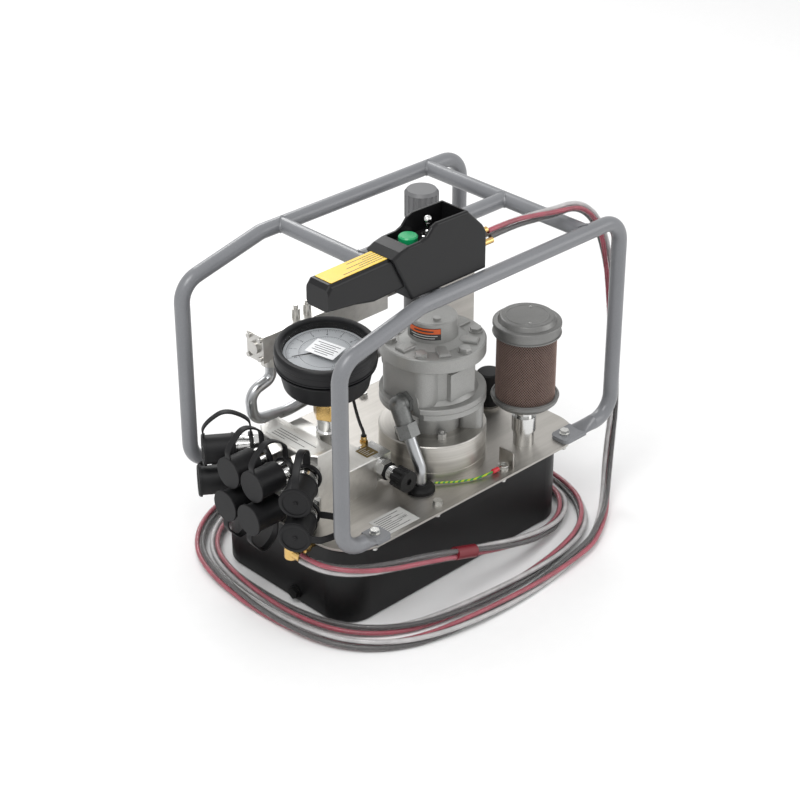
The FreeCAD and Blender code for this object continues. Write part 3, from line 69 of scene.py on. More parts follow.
def on_deck(x, y, z=0.0):
    """A point in millimetres, z measured from the top of the deck."""
    return Vector((x * MM, y * MM, z * MM + DECK))


def joint_named(name):
    return next(joint for joint in frame["joints"] if joint["name"] == name)


# ---------------------------------------------------------------- camera and light

LENS = 92.96
SENSOR_WIDTH = 36
CAMERA_PLACE = (-1.5300, -1.5764, 1.4369)
CAMERA_FORWARD = (0.6033, 0.6249, -0.4956)
WORLD_STRENGTH = 0.85
# Each light's place, width in metres and power in watts
AREA_LIGHTS = {
    "key": ((-1.2, -0.5, 2.2), 1.3, 26),
    "fill": ((1.6, -1.9, 1.2), 1.6, 12),
    "rim": ((0.9, 1.8, 1.6), 1.0, 14),
}
LIGHT_TARGET = (0, 0, 0.2)


def add_camera():
    data = bpy.data.cameras.new("camera")
    data.lens = LENS
    data.sensor_width = SENSOR_WIDTH
    camera = bpy.data.objects.new("camera", data)
    camera.location = CAMERA_PLACE
    camera.rotation_euler = Vector(CAMERA_FORWARD).to_track_quat("-Z", "Y").to_euler()
    bpy.context.scene.collection.objects.link(camera)
    bpy.context.scene.camera = camera


def add_area_light(name, place, size, watts):
    data = bpy.data.lights.new(name, "AREA")
    data.shape = "DISK"
    data.size = size
    data.energy = watts
    light = bpy.data.objects.new(name, data)
    light.location = place
    aim = Vector(LIGHT_TARGET) - Vector(place)
    light.rotation_euler = aim.to_track_quat("-Z", "Y").to_euler()
    bpy.context.scene.collection.objects.link(light)


def add_studio():
    world = bpy.data.worlds.new("studio")
    world.use_nodes = True
    world.node_tree.nodes["Background"].inputs["Color"].default_value = (1, 1, 1, 1)
    world.node_tree.nodes["Background"].inputs["Strength"].default_value = WORLD_STRENGTH
    bpy.context.scene.world = world
    bpy.context.scene.view_settings.view_transform = "Standard"
    for name, (place, size, watts) in AREA_LIGHTS.items():
        add_area_light(name, place, size, watts)


# ---------------------------------------------------------------- materials

def add_node(material, kind, inputs=None, **settings):
    """Add a shader node. An input takes a value or another node's output."""
    node = material.node_tree.nodes.new(kind)
    for name, value in settings.items():
        setattr(node, name, value)
    for name, value in (inputs or {}).items():
        socket = node.inputs[name]
        if isinstance(value, bpy.types.NodeSocket):
            material.node_tree.links.new(value, socket)
        else:
            socket.default_value = value
    return node


def object_place(material, stretch=(1, 1, 1), centre=(0, 0, 0)):
    """Coordinates on the object in metres, moved to a centre and stretched."""
    where = add_node(material, "ShaderNodeTexCoord").outputs["Object"]
    back = tuple(-c * s for c, s in zip(centre, stretch))
    mapping = add_node(material, "ShaderNodeMapping",
                       {"Vector": where, "Scale": stretch, "Location": back})
    return mapping.outputs["Vector"]


def noise(material, place, scale, detail=3.0):
    made = add_node(material, "ShaderNodeTexNoise",
                    {"Vector": place, "Scale": scale, "Detail": detail})
    return made.outputs["Fac"]


def ramp(material, amount, dark, light, start=0.3, end=0.7):
    made = add_node(material, "ShaderNodeValToRGB", {"Fac": amount})
    low, high = made.color_ramp.elements
    low.position = start
    high.position = end
    low.color = (*dark, 1)
    high.color = (*light, 1)
    return made.outputs["Color"]


def spread(material, amount, low, high, start=0.3, end=0.7):
    made = add_node(material, "ShaderNodeMapRange", {"Value": amount, "From Min": start,
                                                     "From Max": end, "To Min": low, "To Max": high})
    return made.outputs["Result"]


def bumped(material, height, strength, distance):
    made = add_node(material, "ShaderNodeBump",
                    {"Height": height, "Strength": strength, "Distance": distance})
    return made.outputs["Normal"]


def new_material(name, **shader_values):
    material = bpy.data.materials.new(name)
    material.use_nodes = True
    shader = material.node_tree.nodes["Principled BSDF"]
    for key, value in shader_values.items():
        shader.inputs[key.replace("_", " ").title().replace("Ior", "IOR")].default_value = value
    return material


def connect(material, **outputs):
    shader = material.node_tree.nodes["Principled BSDF"]
    for key, output in outputs.items():
        material.node_tree.links.new(output, shader.inputs[key.replace("_", " ").title()])
    return material


def surface(name, dark, light, rough, metallic=0.0, patch=14, grain=900, relief=0.15,
            depth=0.0002, stretch=(1, 1, 1), **shader_values):
    """A finish with broad patches of colour and gloss, and a fine grain that stands up."""
    material = new_material(name, metallic=metallic, **shader_values)
    place = object_place(material, stretch)
    broad = noise(material, place, patch)
    fine = noise(material, place, grain, 4.0)
    mixed = add_node(material, "ShaderNodeMath", {0: broad, 1: fine}, operation="ADD")
    halved = add_node(material, "ShaderNodeMath", {0: mixed.outputs[0], 1: 0.5},
                      operation="MULTIPLY").outputs[0]
    return connect(material, base_color=ramp(material, halved, dark, light),
                   roughness=spread(material, halved, *rough),
                   normal=bumped(material, fine, relief, depth))


def turned_metal(name, dark, light, rough, centre):
    """Fine rings left by a lathe on an upright piece, as bands of height and of radius."""
    material = new_material(name, metallic=1.0)
    place = object_place(material, centre=centre)
    parts = add_node(material, "ShaderNodeSeparateXYZ", {"Vector": place})
    flat = add_node(material, "ShaderNodeCombineXYZ",
                    {"X": parts.outputs["X"], "Y": parts.outputs["Y"]})
    radius = add_node(material, "ShaderNodeVectorMath", {0: flat.outputs[0]}, operation="LENGTH")
    total = add_node(material, "ShaderNodeMath", {0: radius.outputs["Value"],
                                                  1: parts.outputs["Z"]}, operation="ADD")
    line = add_node(material, "ShaderNodeCombineXYZ", {"X": total.outputs[0]}).outputs[0]
    rings = noise(material, line, 2200, 2.0)
    broad = noise(material, line, 160, 2.0)
    return connect(material, base_color=ramp(material, broad, dark, light),
                   roughness=spread(material, rings, *rough),
                   normal=bumped(material, rings, 0.25, 0.00004))


def striped(name, first, second, centre, turns):
    """Two colours in straight stripes along a wire."""
    material = new_material(name, roughness=0.35)
    place = object_place(material, centre=centre)
    wave = add_node(material, "ShaderNodeTexWave", {"Vector": place, "Scale": turns},
                    bands_direction="Y")
    return connect(material, base_color=ramp(material, wave.outputs["Fac"], first, second, 0.45, 0.55))


def make_finishes():
    """One finish for each material slot in the record."""
    ring_centre = middle("mount_ring")
    steel = ((0.36, 0.345, 0.32), (0.50, 0.48, 0.45))
    return {
        "tank_paint": surface("tank_paint", (0.0035, 0.0035, 0.0037), (0.0075, 0.0075, 0.008),
                              (0.34, 0.46), grain=1300, relief=0.2, depth=0.0001,
                              specular_ior_level=0.28),
        "seal_rubber": surface("seal_rubber", (0.006, 0.006, 0.006), (0.012, 0.012, 0.012), (0.5, 0.65),
                               specular_ior_level=0.2),
        "stainless": surface("stainless", *steel, (0.34, 0.48), 1.0, patch=8, grain=260,
                             relief=0.12, depth=0.00006, stretch=(0.35, 14, 14)),
        "zinc": surface("zinc", (0.50, 0.50, 0.48), (0.72, 0.72, 0.70), (0.22, 0.38), 1.0),
        "black_plastic": surface("black_plastic", (0.006, 0.006, 0.006), (0.012, 0.012, 0.012),
                                 (0.38, 0.52), grain=1600, relief=0.2, depth=0.0001,
                                 specular_ior_level=0.25),
        "frame_paint": surface("frame_paint", (0.150, 0.155, 0.165), (0.185, 0.190, 0.202),
                               (0.30, 0.40), grain=620, relief=0.10, depth=0.00015,
                               coat_weight=0.25, coat_roughness=0.2),
        "turned_aluminium": turned_metal("turned_aluminium", (0.45, 0.435, 0.405),
                                         (0.62, 0.60, 0.565), (0.30, 0.46), ring_centre),
        "casting": surface("casting", (0.28, 0.28, 0.272), (0.38, 0.38, 0.368), (0.38, 0.54), 0.5,
                           patch=22, grain=760, relief=0.42, depth=0.0003),
        "casting_screws": surface("casting_screws", (0.32, 0.32, 0.31), (0.43, 0.43, 0.42),
                                  (0.3, 0.42), 0.6, grain=900, relief=0.2),
        "ground_steel": surface("ground_steel", (0.5, 0.5, 0.5), (0.6, 0.6, 0.62), (0.2, 0.3), 1.0),
        "vane_composite": surface("vane_composite", (0.16, 0.09, 0.04), (0.22, 0.13, 0.06),
                                  (0.5, 0.6)),
        "pump_iron": surface("pump_iron", (0.10, 0.10, 0.10), (0.17, 0.17, 0.17), (0.45, 0.6), 0.5),
        "galvanised": surface("galvanised", (0.14, 0.143, 0.14), (0.25, 0.255, 0.25),
                              (0.36, 0.55), 0.8, patch=90, grain=500, relief=0.35, depth=0.0003),
        "zinc_tube": surface("zinc_tube", (0.43, 0.44, 0.45), (0.52, 0.53, 0.54), (0.26, 0.34), 1.0,
                             patch=12, grain=90, relief=0.015),
        "bright_steel": surface("bright_steel", (0.58, 0.58, 0.57), (0.76, 0.76, 0.75),
                                (0.12, 0.24), 1.0, patch=40, grain=1200, relief=0.05),
        "muffler_cast": surface("muffler_cast", (0.17, 0.17, 0.166), (0.235, 0.235, 0.228),
                                (0.34, 0.46), 0.6, patch=30, grain=800, relief=0.12),
        "muffler_mesh": surface("muffler_mesh", (0.24, 0.165, 0.14), (0.36, 0.26, 0.225),
                                (0.42, 0.6), 0.35, patch=120, grain=1500, relief=0.3),
        "earth_wire": striped("earth_wire", (0.42, 0.50, 0.02), (0.02, 0.22, 0.05),
                              middle("earth_lead"), 90),
        "milled_aluminium": surface("milled_aluminium", (0.50, 0.49, 0.47), (0.66, 0.65, 0.62),
                                    (0.26, 0.42), 1.0, patch=10, grain=300, relief=0.1,
                                    depth=0.00005, stretch=(12, 0.5, 12)),
        "cap_rubber": surface("cap_rubber", (0.0055, 0.0055, 0.006), (0.0115, 0.0115, 0.0125),
                              (0.42, 0.56), patch=40, grain=1500, relief=0.22, depth=0.00012,
                              specular_ior_level=0.25),
        "gauge_steel": surface("gauge_steel", (0.007, 0.007, 0.007), (0.012, 0.012, 0.012), (0.35, 0.45),
                               specular_ior_level=0.3),
        "boot_rubber": surface("boot_rubber", (0.005, 0.005, 0.0056), (0.0105, 0.0105, 0.0118),
                               (0.34, 0.48), patch=25, grain=1300, relief=0.15, depth=0.0001,
                               specular_ior_level=0.25),
        "gauge_glass": new_material("gauge_glass", base_color=(0.02, 0.02, 0.02, 1), roughness=0.05,
                                    alpha=0.05),
        "pointer_black": surface("pointer_black", (0.01, 0.01, 0.01), (0.016, 0.016, 0.016),
                                 (0.35, 0.45)),
        "brass_fitting": surface("brass_fitting", (0.60, 0.38, 0.12), (0.80, 0.56, 0.24),
                                 (0.16, 0.32), 1.0, patch=60, grain=900, relief=0.08),
        "regulator_paint": surface("regulator_paint", (0.062, 0.063, 0.066), (0.10, 0.10, 0.105),
                                   (0.36, 0.5), 0.2, grain=900, relief=0.2),
        "grey_plastic": surface("grey_plastic", (0.115, 0.116, 0.120), (0.150, 0.151, 0.155),
                                (0.38, 0.5), grain=1500, relief=0.2),
        "pendant_plastic": surface("pendant_plastic", (0.0042, 0.0042, 0.0046),
                                   (0.0085, 0.0085, 0.0093), (0.28, 0.40), patch=18, grain=1800,
                                   relief=0.16, depth=0.0001, specular_ior_level=0.3),
        "green_plastic": surface("green_plastic", (0.004, 0.25, 0.085), (0.010, 0.36, 0.13),
                                 (0.24, 0.34), grain=1500, relief=0.08),
        "clear_hose": surface("clear_hose", (0.36, 0.34, 0.34), (0.52, 0.50, 0.50), (0.14, 0.26),
                              patch=40, grain=300, relief=0.04, alpha=0.17,
                              coat_weight=0.5, coat_roughness=0.06),
    }


def paint_nodes(finishes):
    slots = {part["node"]: part["material_slot"] for part in frame["record"]["subparts"]}
    for name, obj in frame["nodes"].items():
        obj.data.materials.clear()
        obj.data.materials.append(finishes[slots[name]])


# ---------------------------------------------------------------- building pieces

def new_piece(name, mesh, finish, body="root"):
    piece = bpy.data.objects.new(name, mesh)
    bpy.context.scene.collection.objects.link(piece)
    mesh.materials.clear()
    mesh.materials.append(finish)
    if body is not None:
        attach(piece, body)
    return piece


def shaped(name, bm, matrix, finish, body="root", smooth=True):
    """Turn a bmesh in millimetres into a piece, placed by a matrix in metres."""
    bmesh.ops.recalc_face_normals(bm, faces=bm.faces)
    mesh = bpy.data.meshes.new(name)
    bm.to_mesh(mesh)
    bm.free()
    mesh.transform(matrix @ Matrix.Scale(MM, 4))
    if smooth:
        mesh.shade_smooth()
        mesh.set_sharp_from_angle(angle=math.radians(35))
    return new_piece(name, mesh, finish, body)


def facing(place, outward, along=(1, 0, 0)):
    """A place whose local Z runs outward, and whose local X follows along as near as it can."""
    z = Vector(outward).normalized()
    x = Vector(along)
    x = (x - z * x.dot(z)).normalized()
    y = z.cross(x)
    turn = Matrix((x, y, z)).transposed().to_4x4()
    return Matrix.Translation(place) @ turn


def lathe(bm, profile, steps=48):
    """A closed outline of (radius, height), turned about local Z."""
    rings = []
    for k in range(steps):
        turn = FULL_TURN * k / steps
        rings.append([bm.verts.new((r * math.cos(turn), r * math.sin(turn), z))
                      for r, z in profile])
    count = len(profile)
    for k in range(steps):
        here, following = rings[k], rings[(k + 1) % steps]
        for i in range(count):
            j = (i + 1) % count
            bm.faces.new((here[i], following[i], following[j], here[j]))
    bmesh.ops.remove_doubles(bm, verts=bm.verts, dist=1e-4)


def rounded_outline(width, height, radius, steps=5):
    """The corners of a rectangle, each turned through an arc."""
    points = []
    for index, (sx, sy) in enumerate(((1, 1), (-1, 1), (-1, -1), (1, -1))):
        for k in range(steps + 1):
            turn = math.radians(90 * index + 90 * k / steps)
            points.append((sx * (width / 2 - radius) + radius * math.cos(turn),
                           sy * (height / 2 - radius) + radius * math.sin(turn)))
    return points


def extrude(bm, outline, base, top):
    low = [bm.verts.new((x, y, base)) for x, y in outline]
    high = [bm.verts.new((x, y, top)) for x, y in outline]
    count = len(outline)
    bm.faces.new(low[::-1])
    bm.faces.new(high)
    for i in range(count):
        j = (i + 1) % count
        bm.faces.new((low[i], low[j], high[j], high[i]))


def shifted(outline, x, y):
    return [(px + x, py + y) for px, py in outline]


def ring_outline(radius, steps=16):
    return [(radius * math.cos(FULL_TURN * k / steps), radius * math.sin(FULL_TURN * k / steps))
            for k in range(steps)]


def plate(name, width, height, matrix, finish, body="root", radius=1.2, thick=0.3):
    """A thin label with round corners."""
    bm = bmesh.new()
    extrude(bm, rounded_outline(width, height, radius), 0, thick)
    return shaped(name, bm, matrix, finish, body, smooth=False)


def bars(name, rows, matrix, finish, body="root", lift=0.3):
    """Plain printed bars, each given as (x, y, width, height)."""
    bm = bmesh.new()
    for x, y, width, height in rows:
        extrude(bm, shifted(rounded_outline(width, height, height * 0.3, 2), x, y), lift, lift + 0.06)
    return shaped(name, bm, matrix, finish, body, smooth=False)


def text_piece(name, entries, size, matrix, finish, body="root"):
    """Numbers laid flat: each entry is (word, x, y, turn in degrees)."""
    bm = bmesh.new()
    for word, x, y, turn in entries:
        curve = bpy.data.curves.new(name, "FONT")
        curve.body = word
        curve.size = size
        curve.align_x = "CENTER"
        curve.align_y = "CENTER"
        curve.extrude = 0.03
        holder = bpy.data.objects.new(name, curve)
        mesh = bpy.data.meshes.new_from_object(holder)
        mesh.transform(Matrix.Translation((x, y, 0)) @ Matrix.Rotation(math.radians(turn), 4, "Z"))
        bm.from_mesh(mesh)
        bpy.data.objects.remove(holder)
        bpy.data.curves.remove(curve)
        bpy.data.meshes.remove(mesh)
    return shaped(name, bm, matrix, finish, body, smooth=False)


# ---------------------------------------------------------------- sweeps

def carried_frames(line, first_side):
    """A side and a cross direction at each point of a line, carried along without twist."""
    tangents = []
    for i in range(len(line)):
        before = line[max(i - 1, 0)]
        after = line[min(i + 1, len(line) - 1)]
        tangents.append((after - before).normalized())
    side = Vector(first_side)
    frames = []
    for i, tangent in enumerate(tangents):
        if i:
            side = tangents[i - 1].rotation_difference(tangent) @ side
        side = (side - tangent * side.dot(tangent)).normalized()
        frames.append((side, tangent.cross(side)))
    return frames


def distances_along(line):
    total = [0.0]
    for before, after in zip(line, line[1:]):
        total.append(total[-1] + (after - before).length)
    return total


def sweep(bm, line, section, first_side, turn_each=0.0):
    """A closed section in metres carried along a line. It turns once every turn_each metres."""
    frames = carried_frames(line, first_side)
    along = distances_along(line)
    rings = []
    for point, (side, cross), distance in zip(line, frames, along):
        turn = FULL_TURN * distance / turn_each if turn_each else 0.0
        ring = []
        for u, v in section:
            x = u * math.cos(turn) - v * math.sin(turn)
            y = u * math.sin(turn) + v * math.cos(turn)
            ring.append(bm.verts.new(point + side * x + cross * y))
        rings.append(ring)
    count = len(section)
    for here, following in zip(rings, rings[1:]):
        for i in range(count):
            j = (i + 1) % count
            bm.faces.new((here[i], here[j], following[j], following[i]))
    bm.faces.new(rings[0][::-1])
    bm.faces.new(rings[-1])


def swept(name, bm, finish, body="root"):
    bmesh.ops.recalc_face_normals(bm, faces=bm.faces)
    mesh = bpy.data.meshes.new(name)
    bm.to_mesh(mesh)
    bm.free()
    mesh.shade_smooth()
    mesh.set_sharp_from_angle(angle=math.radians(50))
    return new_piece(name, mesh, finish, body)


def smooth_line(points, resolution=8):
    """Points along a NURBS spline through a route's control points."""
    curve = bpy.data.curves.new("route", "CURVE")
    curve.dimensions = "3D"
    spline = curve.splines.new("NURBS")
    spline.points.add(len(points) - 1)
    for spot, place in zip(spline.points, points):
        spot.co = (*place, 1)
    spline.order_u = 3
    spline.use_endpoint_u = True
    spline.resolution_u = resolution
    holder = bpy.data.objects.new("route", curve)
    mesh = bpy.data.meshes.new_from_object(holder)
    line = [vertex.co.copy() for vertex in mesh.vertices]
    bpy.data.objects.remove(holder)
    bpy.data.curves.remove(curve)
    bpy.data.meshes.remove(mesh)
    return line


# ---------------------------------------------------------------- hose bundle

HOSE_LAY = 0.62
STRAND_RADIUS = 3.75 * MM
STRAND_OFFSET = 4.15 * MM
CORE_RADIUS = 2.9 * MM
CORE_TINTS = {
    "red": ((0.25, 0.004, 0.026), (0.40, 0.016, 0.055)),
    "dark": ((0.008, 0.008, 0.008), (0.03, 0.03, 0.03)),
    "pale": ((0.40, 0.39, 0.39), (0.56, 0.55, 0.55)),
}
# The tape's place and half its width, as shares of the hose's length
TAPE_SHARE = 0.94
TAPE_HALF_SHARE = 0.0055
TAPE_RADIUS = 8.1 * MM
DROP = [(24.5, -110, 436), (62, -109, 437), (104, -106, 431), (146, -103, 423),
        (182, -104, 421), (209, -106, 403), (226, -109, 374), (236, -112, 334),
        (245, -114, 284), (253, -115, 226), (257, -116, 168), (257, -117, 118),
        (252, -119, 74), (241, -127, 40), (222, -143, 19), (194, -164, 10), (158, -184, 8)]
RISE = [(168, -120, 9), (130, -142, 12), (82, -152, 20), (28, -160, 36), (-30, -162, 56),
        (-84, -162, 74), (-130, -163, 88), (-170, -160, 96), (-203, -148, 100),
        (-227, -126, 101), (-238, -99, 100.5), (-238, -76, 100)]
COIL_CENTRE = (-14, 0)
COIL_START, COIL_STEP, COIL_POINTS = -66, -22.5, 31
COIL_HALF_LENGTH = (254, 214)
COIL_HALF_WIDTH = (216, 173)
COIL_SQUARENESS = 0.7


def coil_points():
    """The turns that lie on the floor round the reservoir, each inside the last."""
    points = []
    for i in range(COIL_POINTS):
        share = i / (COIL_POINTS - 1)
        angle = math.radians(COIL_START + COIL_STEP * i)
        half_length = COIL_HALF_LENGTH[0] + (COIL_HALF_LENGTH[1] - COIL_HALF_LENGTH[0]) * share
        half_width = COIL_HALF_WIDTH[0] + (COIL_HALF_WIDTH[1] - COIL_HALF_WIDTH[0]) * share
        wave = 3 * math.sin(2.3 * angle)
        across = math.copysign(abs(math.cos(angle)) ** COIL_SQUARENESS, math.cos(angle))
        along = math.copysign(abs(math.sin(angle)) ** COIL_SQUARENESS, math.sin(angle))
        points.append((COIL_CENTRE[0] + (half_length + wave) * across,
                       COIL_CENTRE[1] + (half_width + wave) * along, 8))
    return points


def bend_with_pendant(piece):
    """Bake the piece's place into its mesh."""
    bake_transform(piece)


def make_core_finish(name, dark, light):
    finish = new_material(name, roughness=0.4)
    spot = object_place(finish)
    return connect(finish, base_color=ramp(finish, noise(finish, spot, 60), dark, light))


def make_hose():
    """Three clear hoses with coloured cores, twisted slowly round each other."""
    route = [Vector(spot) * MM for spot in DROP + coil_points() + RISE]
    line = smooth_line(route)
    jackets = bmesh.new()
    for index, (colour, (dark, light)) in enumerate(CORE_TINTS.items()):
        phase = FULL_TURN * index / len(CORE_TINTS)
        centre = (STRAND_OFFSET * math.cos(phase), STRAND_OFFSET * math.sin(phase))
        skin = shifted(ring_outline(STRAND_RADIUS, 12), *centre)
        sweep(jackets, line, skin, UP, HOSE_LAY)
        core = bmesh.new()
        sweep(core, line, shifted(ring_outline(CORE_RADIUS, 8), *centre), UP, HOSE_LAY)
        finish = make_core_finish(f"core_{colour}", dark, light)
        made = swept(f"hose_core_{colour}", core, finish, None)
        bend_with_pendant(made)
    bundle = swept("hose_jackets", jackets, FINISH["clear_hose"], None)
    bend_with_pendant(bundle)
    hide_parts("hose_bundle")
    tape_finish = surface("tape_red", (0.12, 0.004, 0.010), (0.19, 0.009, 0.018), (0.3, 0.45))
    tape = bmesh.new()
    lengths = distances_along(line)
    stretch = [point for point, distance in zip(line, lengths)
               if abs(distance / lengths[-1] - TAPE_SHARE) < TAPE_HALF_SHARE]
    sweep(tape, stretch, ring_outline(TAPE_RADIUS, 20), UP)
    wraps = swept("hose_tape", tape, tape_finish)


# ---------------------------------------------------------------- dust caps and straps

CAP_LENGTH = 38 * MM
CAP_NAMES = [f"dust_cap_{i}" for i in range(1, 9)]
UPPER_CAPS = CAP_NAMES[:4]
CAP_RADIUS = 17.5 * MM
STRAP_RISE = 27 * MM
# Distances in millimetres from the manifold to a cap's face, and to its strap's neck ring
UPPER_REACH, LOWER_REACH, OUTER_EXTRA = 64, 71, 5
UPPER_RING, LOWER_INNER_RING, LOWER_OUTER_RING = 9.5, 28, 20


def cap_axis(name):
    return Vector(joint_named(f"{name}_pull")["axis"])


def cap_face(name):
    """The middle of a cap's outer face."""
    return middle(name) + cap_axis(name) * CAP_LENGTH / 2


def strap_side(name):
    """The side of a cap that its strap leaves from."""
    axis = cap_axis(name)
    if name in UPPER_CAPS:
        return UP
    if abs(axis.y) < 0.1:
        return -UP
    side = axis.cross(UP)
    return side if side.y * middle(name).y > 0 else -side


def ring_distance(name):
    """How far behind the cap's face the strap's neck ring sits."""
    upright_row = name in UPPER_CAPS
    inner = abs(cap_axis(name).y) < 0.1
    cap_reach = (UPPER_REACH if upright_row else LOWER_REACH) + (0 if inner else OUTER_EXTRA)
    lower_ring = LOWER_INNER_RING if inner else LOWER_OUTER_RING
    ring_at = UPPER_RING if upright_row else lower_ring
    return (cap_reach - ring_at - 2) * MM


def strap_section(width, thick, steps=4):
    return [(x * MM, y * MM) for x, y in rounded_outline(thick, width, thick * 0.45, steps)]


def make_cap_strap(name):
    """A moulded loop from a ring on the coupler's neck round to the cap's disc."""
    axis = cap_axis(name)
    side = strap_side(name)
    face = cap_face(name)
    ring_centre = face - axis * ring_distance(name)
    low = CAP_RADIUS
    disc_edge = face - axis * 1.6 * MM + side * 20.5 * MM
    control = [ring_centre + side * low, ring_centre + side * (low + 9 * MM),
               ring_centre + axis * 2 * MM + side * (low + 21 * MM),
               (ring_centre + face) / 2 + side * (low + STRAP_RISE + 8 * MM),
               face - axis * 9 * MM + side * (low + 22 * MM),
               face - axis * 0.5 * MM + side * (low + 11 * MM), disc_edge,
               face - axis * 1.6 * MM + side * 17.8 * MM]
    line = smooth_line(control)
    bm = bmesh.new()
    sweep(bm, line, strap_section(9, 2.2), axis)
    band = swept(f"{name}_strap", bm, FINISH["cap_rubber"], None)
    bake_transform(band)
    collar = bmesh.new()
    neck = 14.5
    lathe(collar, [(neck, -2.4), (neck, 2.4), (neck + 2.6, 2.4), (neck + 3.1, 1.4),
                   (neck + 3.1, -1.4), (neck + 2.6, -2.4)], 40)
    ring = shaped(f"{name}_neck_ring", collar, facing(ring_centre, axis, side), FINISH["cap_rubber"])
    return band


def make_cap_detail(name):
    """A raised edge and a moulded dimple on a cap's face, and a bead on its side."""
    axis = cap_axis(name)
    bm = bmesh.new()
    lathe(bm, [(15.2, -0.4), (15.2, 0.25), (16.2, 0.75), (17.6, 0.75), (18.6, 0.1), (18.6, -0.4)], 48)
    lathe(bm, [(0, -0.3), (0, 0.25), (0.9, 0.25), (1.5, 0.8), (2.2, 0.8), (2.8, -0.3)], 24)
    face = shaped(f"{name}_face", bm, facing(cap_face(name), axis), FINISH["cap_rubber"], name)
    bead = bmesh.new()
    lathe(bead, [(17.2, 0), (18.1, 0.5), (18.3, 1.5), (18.1, 2.5), (17.2, 3)], 48)
    back = cap_face(name) - axis * (CAP_LENGTH - 0.6 * MM)
    lip = shaped(f"{name}_lip", bead, facing(back, axis), FINISH["cap_rubber"], name)


def make_coupler_knurl(name):
    """The grooved locking sleeve of a coupler, just behind its cap."""
    axis = cap_axis(name)
    start = cap_face(name) - axis * (CAP_LENGTH + 11 * MM)
    bm = bmesh.new()
    profile = [(13.2, 0)]
    for k in range(4):
        base = 0.6 + 2.1 * k
        profile += [(14.9, base), (14.9, base + 1.2), (14.1, base + 1.5), (14.1, base + 2.0)]
    profile.append((13.2, 9.2))
    lathe(bm, profile, 56)
    sleeve = shaped(f"{name}_locking_sleeve", bm, facing(start, axis), FINISH["bright_steel"])


def make_caps():
    straps = [make_cap_strap(name) for name in CAP_NAMES]
    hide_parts("cap_straps")
    for name in CAP_NAMES:
        make_cap_detail(name)
        make_coupler_knurl(name)


# ---------------------------------------------------------------- pressure gauge

DIAL_START, DIAL_SWEEP = 153, 270


def gauge_matrix():
    """The dial's centre, with local Z out of its face."""
    joint = joint_named("pointer_sweep")
    normal = -Vector(joint["axis"])
    return facing(Vector(joint["pos_m"]), normal, (1, 0, 0))


def dial_bar(bm, turn, inner, outer, width, base, top):
    """A tick between two radii at an angle."""
    x, y = math.cos(turn), math.sin(turn)
    corners = []
    for radius, half in ((inner, -width / 2), (outer, -width / 2), (outer, width / 2),
                         (inner, width / 2)):
        corners.append((radius * x - half * y, radius * y + half * x))
    extrude(bm, corners, base, top)


# The brass hexagon and nut under the gauge, as heights along its axis in millimetres
HEXAGON_BASE, HEXAGON_TOP = -55.7, -42.0
NUT_BASE, NUT_TOP = -88.4, -65.6
NUT_BORE, NUT_REACH = 12, 17


def make_gauge_brass(place):
    """A brass shell over the hexagon under the gauge, turned to match its corners, and a nut."""
    corner = None
    reach = 0.0
    for vertex in frame["nodes"]["gauge_fitting"].data.vertices:
        spot = place.inverted() @ vertex.co / MM
        flat = math.hypot(spot.x, spot.y)
        if HEXAGON_BASE - 1 < spot.z < HEXAGON_TOP and flat > reach:
            reach = flat
            corner = Vector((spot.x, spot.y, 0))
    turn = Matrix.Rotation(math.atan2(corner.y, corner.x), 4, "Z")
    bm = bmesh.new()
    low = HEXAGON_BASE - 0.3
    lathe(bm, [(9, low), (reach - 0.4, low), (reach + 0.3, HEXAGON_BASE + 1),
               (reach + 0.3, HEXAGON_TOP), (9, HEXAGON_TOP)], 6)
    shell = shaped("gauge_brass_hexagon", bm, place @ turn, FINISH["brass_fitting"], smooth=False)
    nut = bmesh.new()
    lathe(nut, [(NUT_BORE, NUT_BASE), (NUT_REACH - 0.7, NUT_BASE), (NUT_REACH, NUT_BASE + 1),
                (NUT_REACH, NUT_TOP - 1), (NUT_REACH - 0.7, NUT_TOP), (NUT_BORE, NUT_TOP)], 6)
    union = shaped("gauge_brass_nut", nut, place @ turn, FINISH["brass_fitting"], smooth=False)


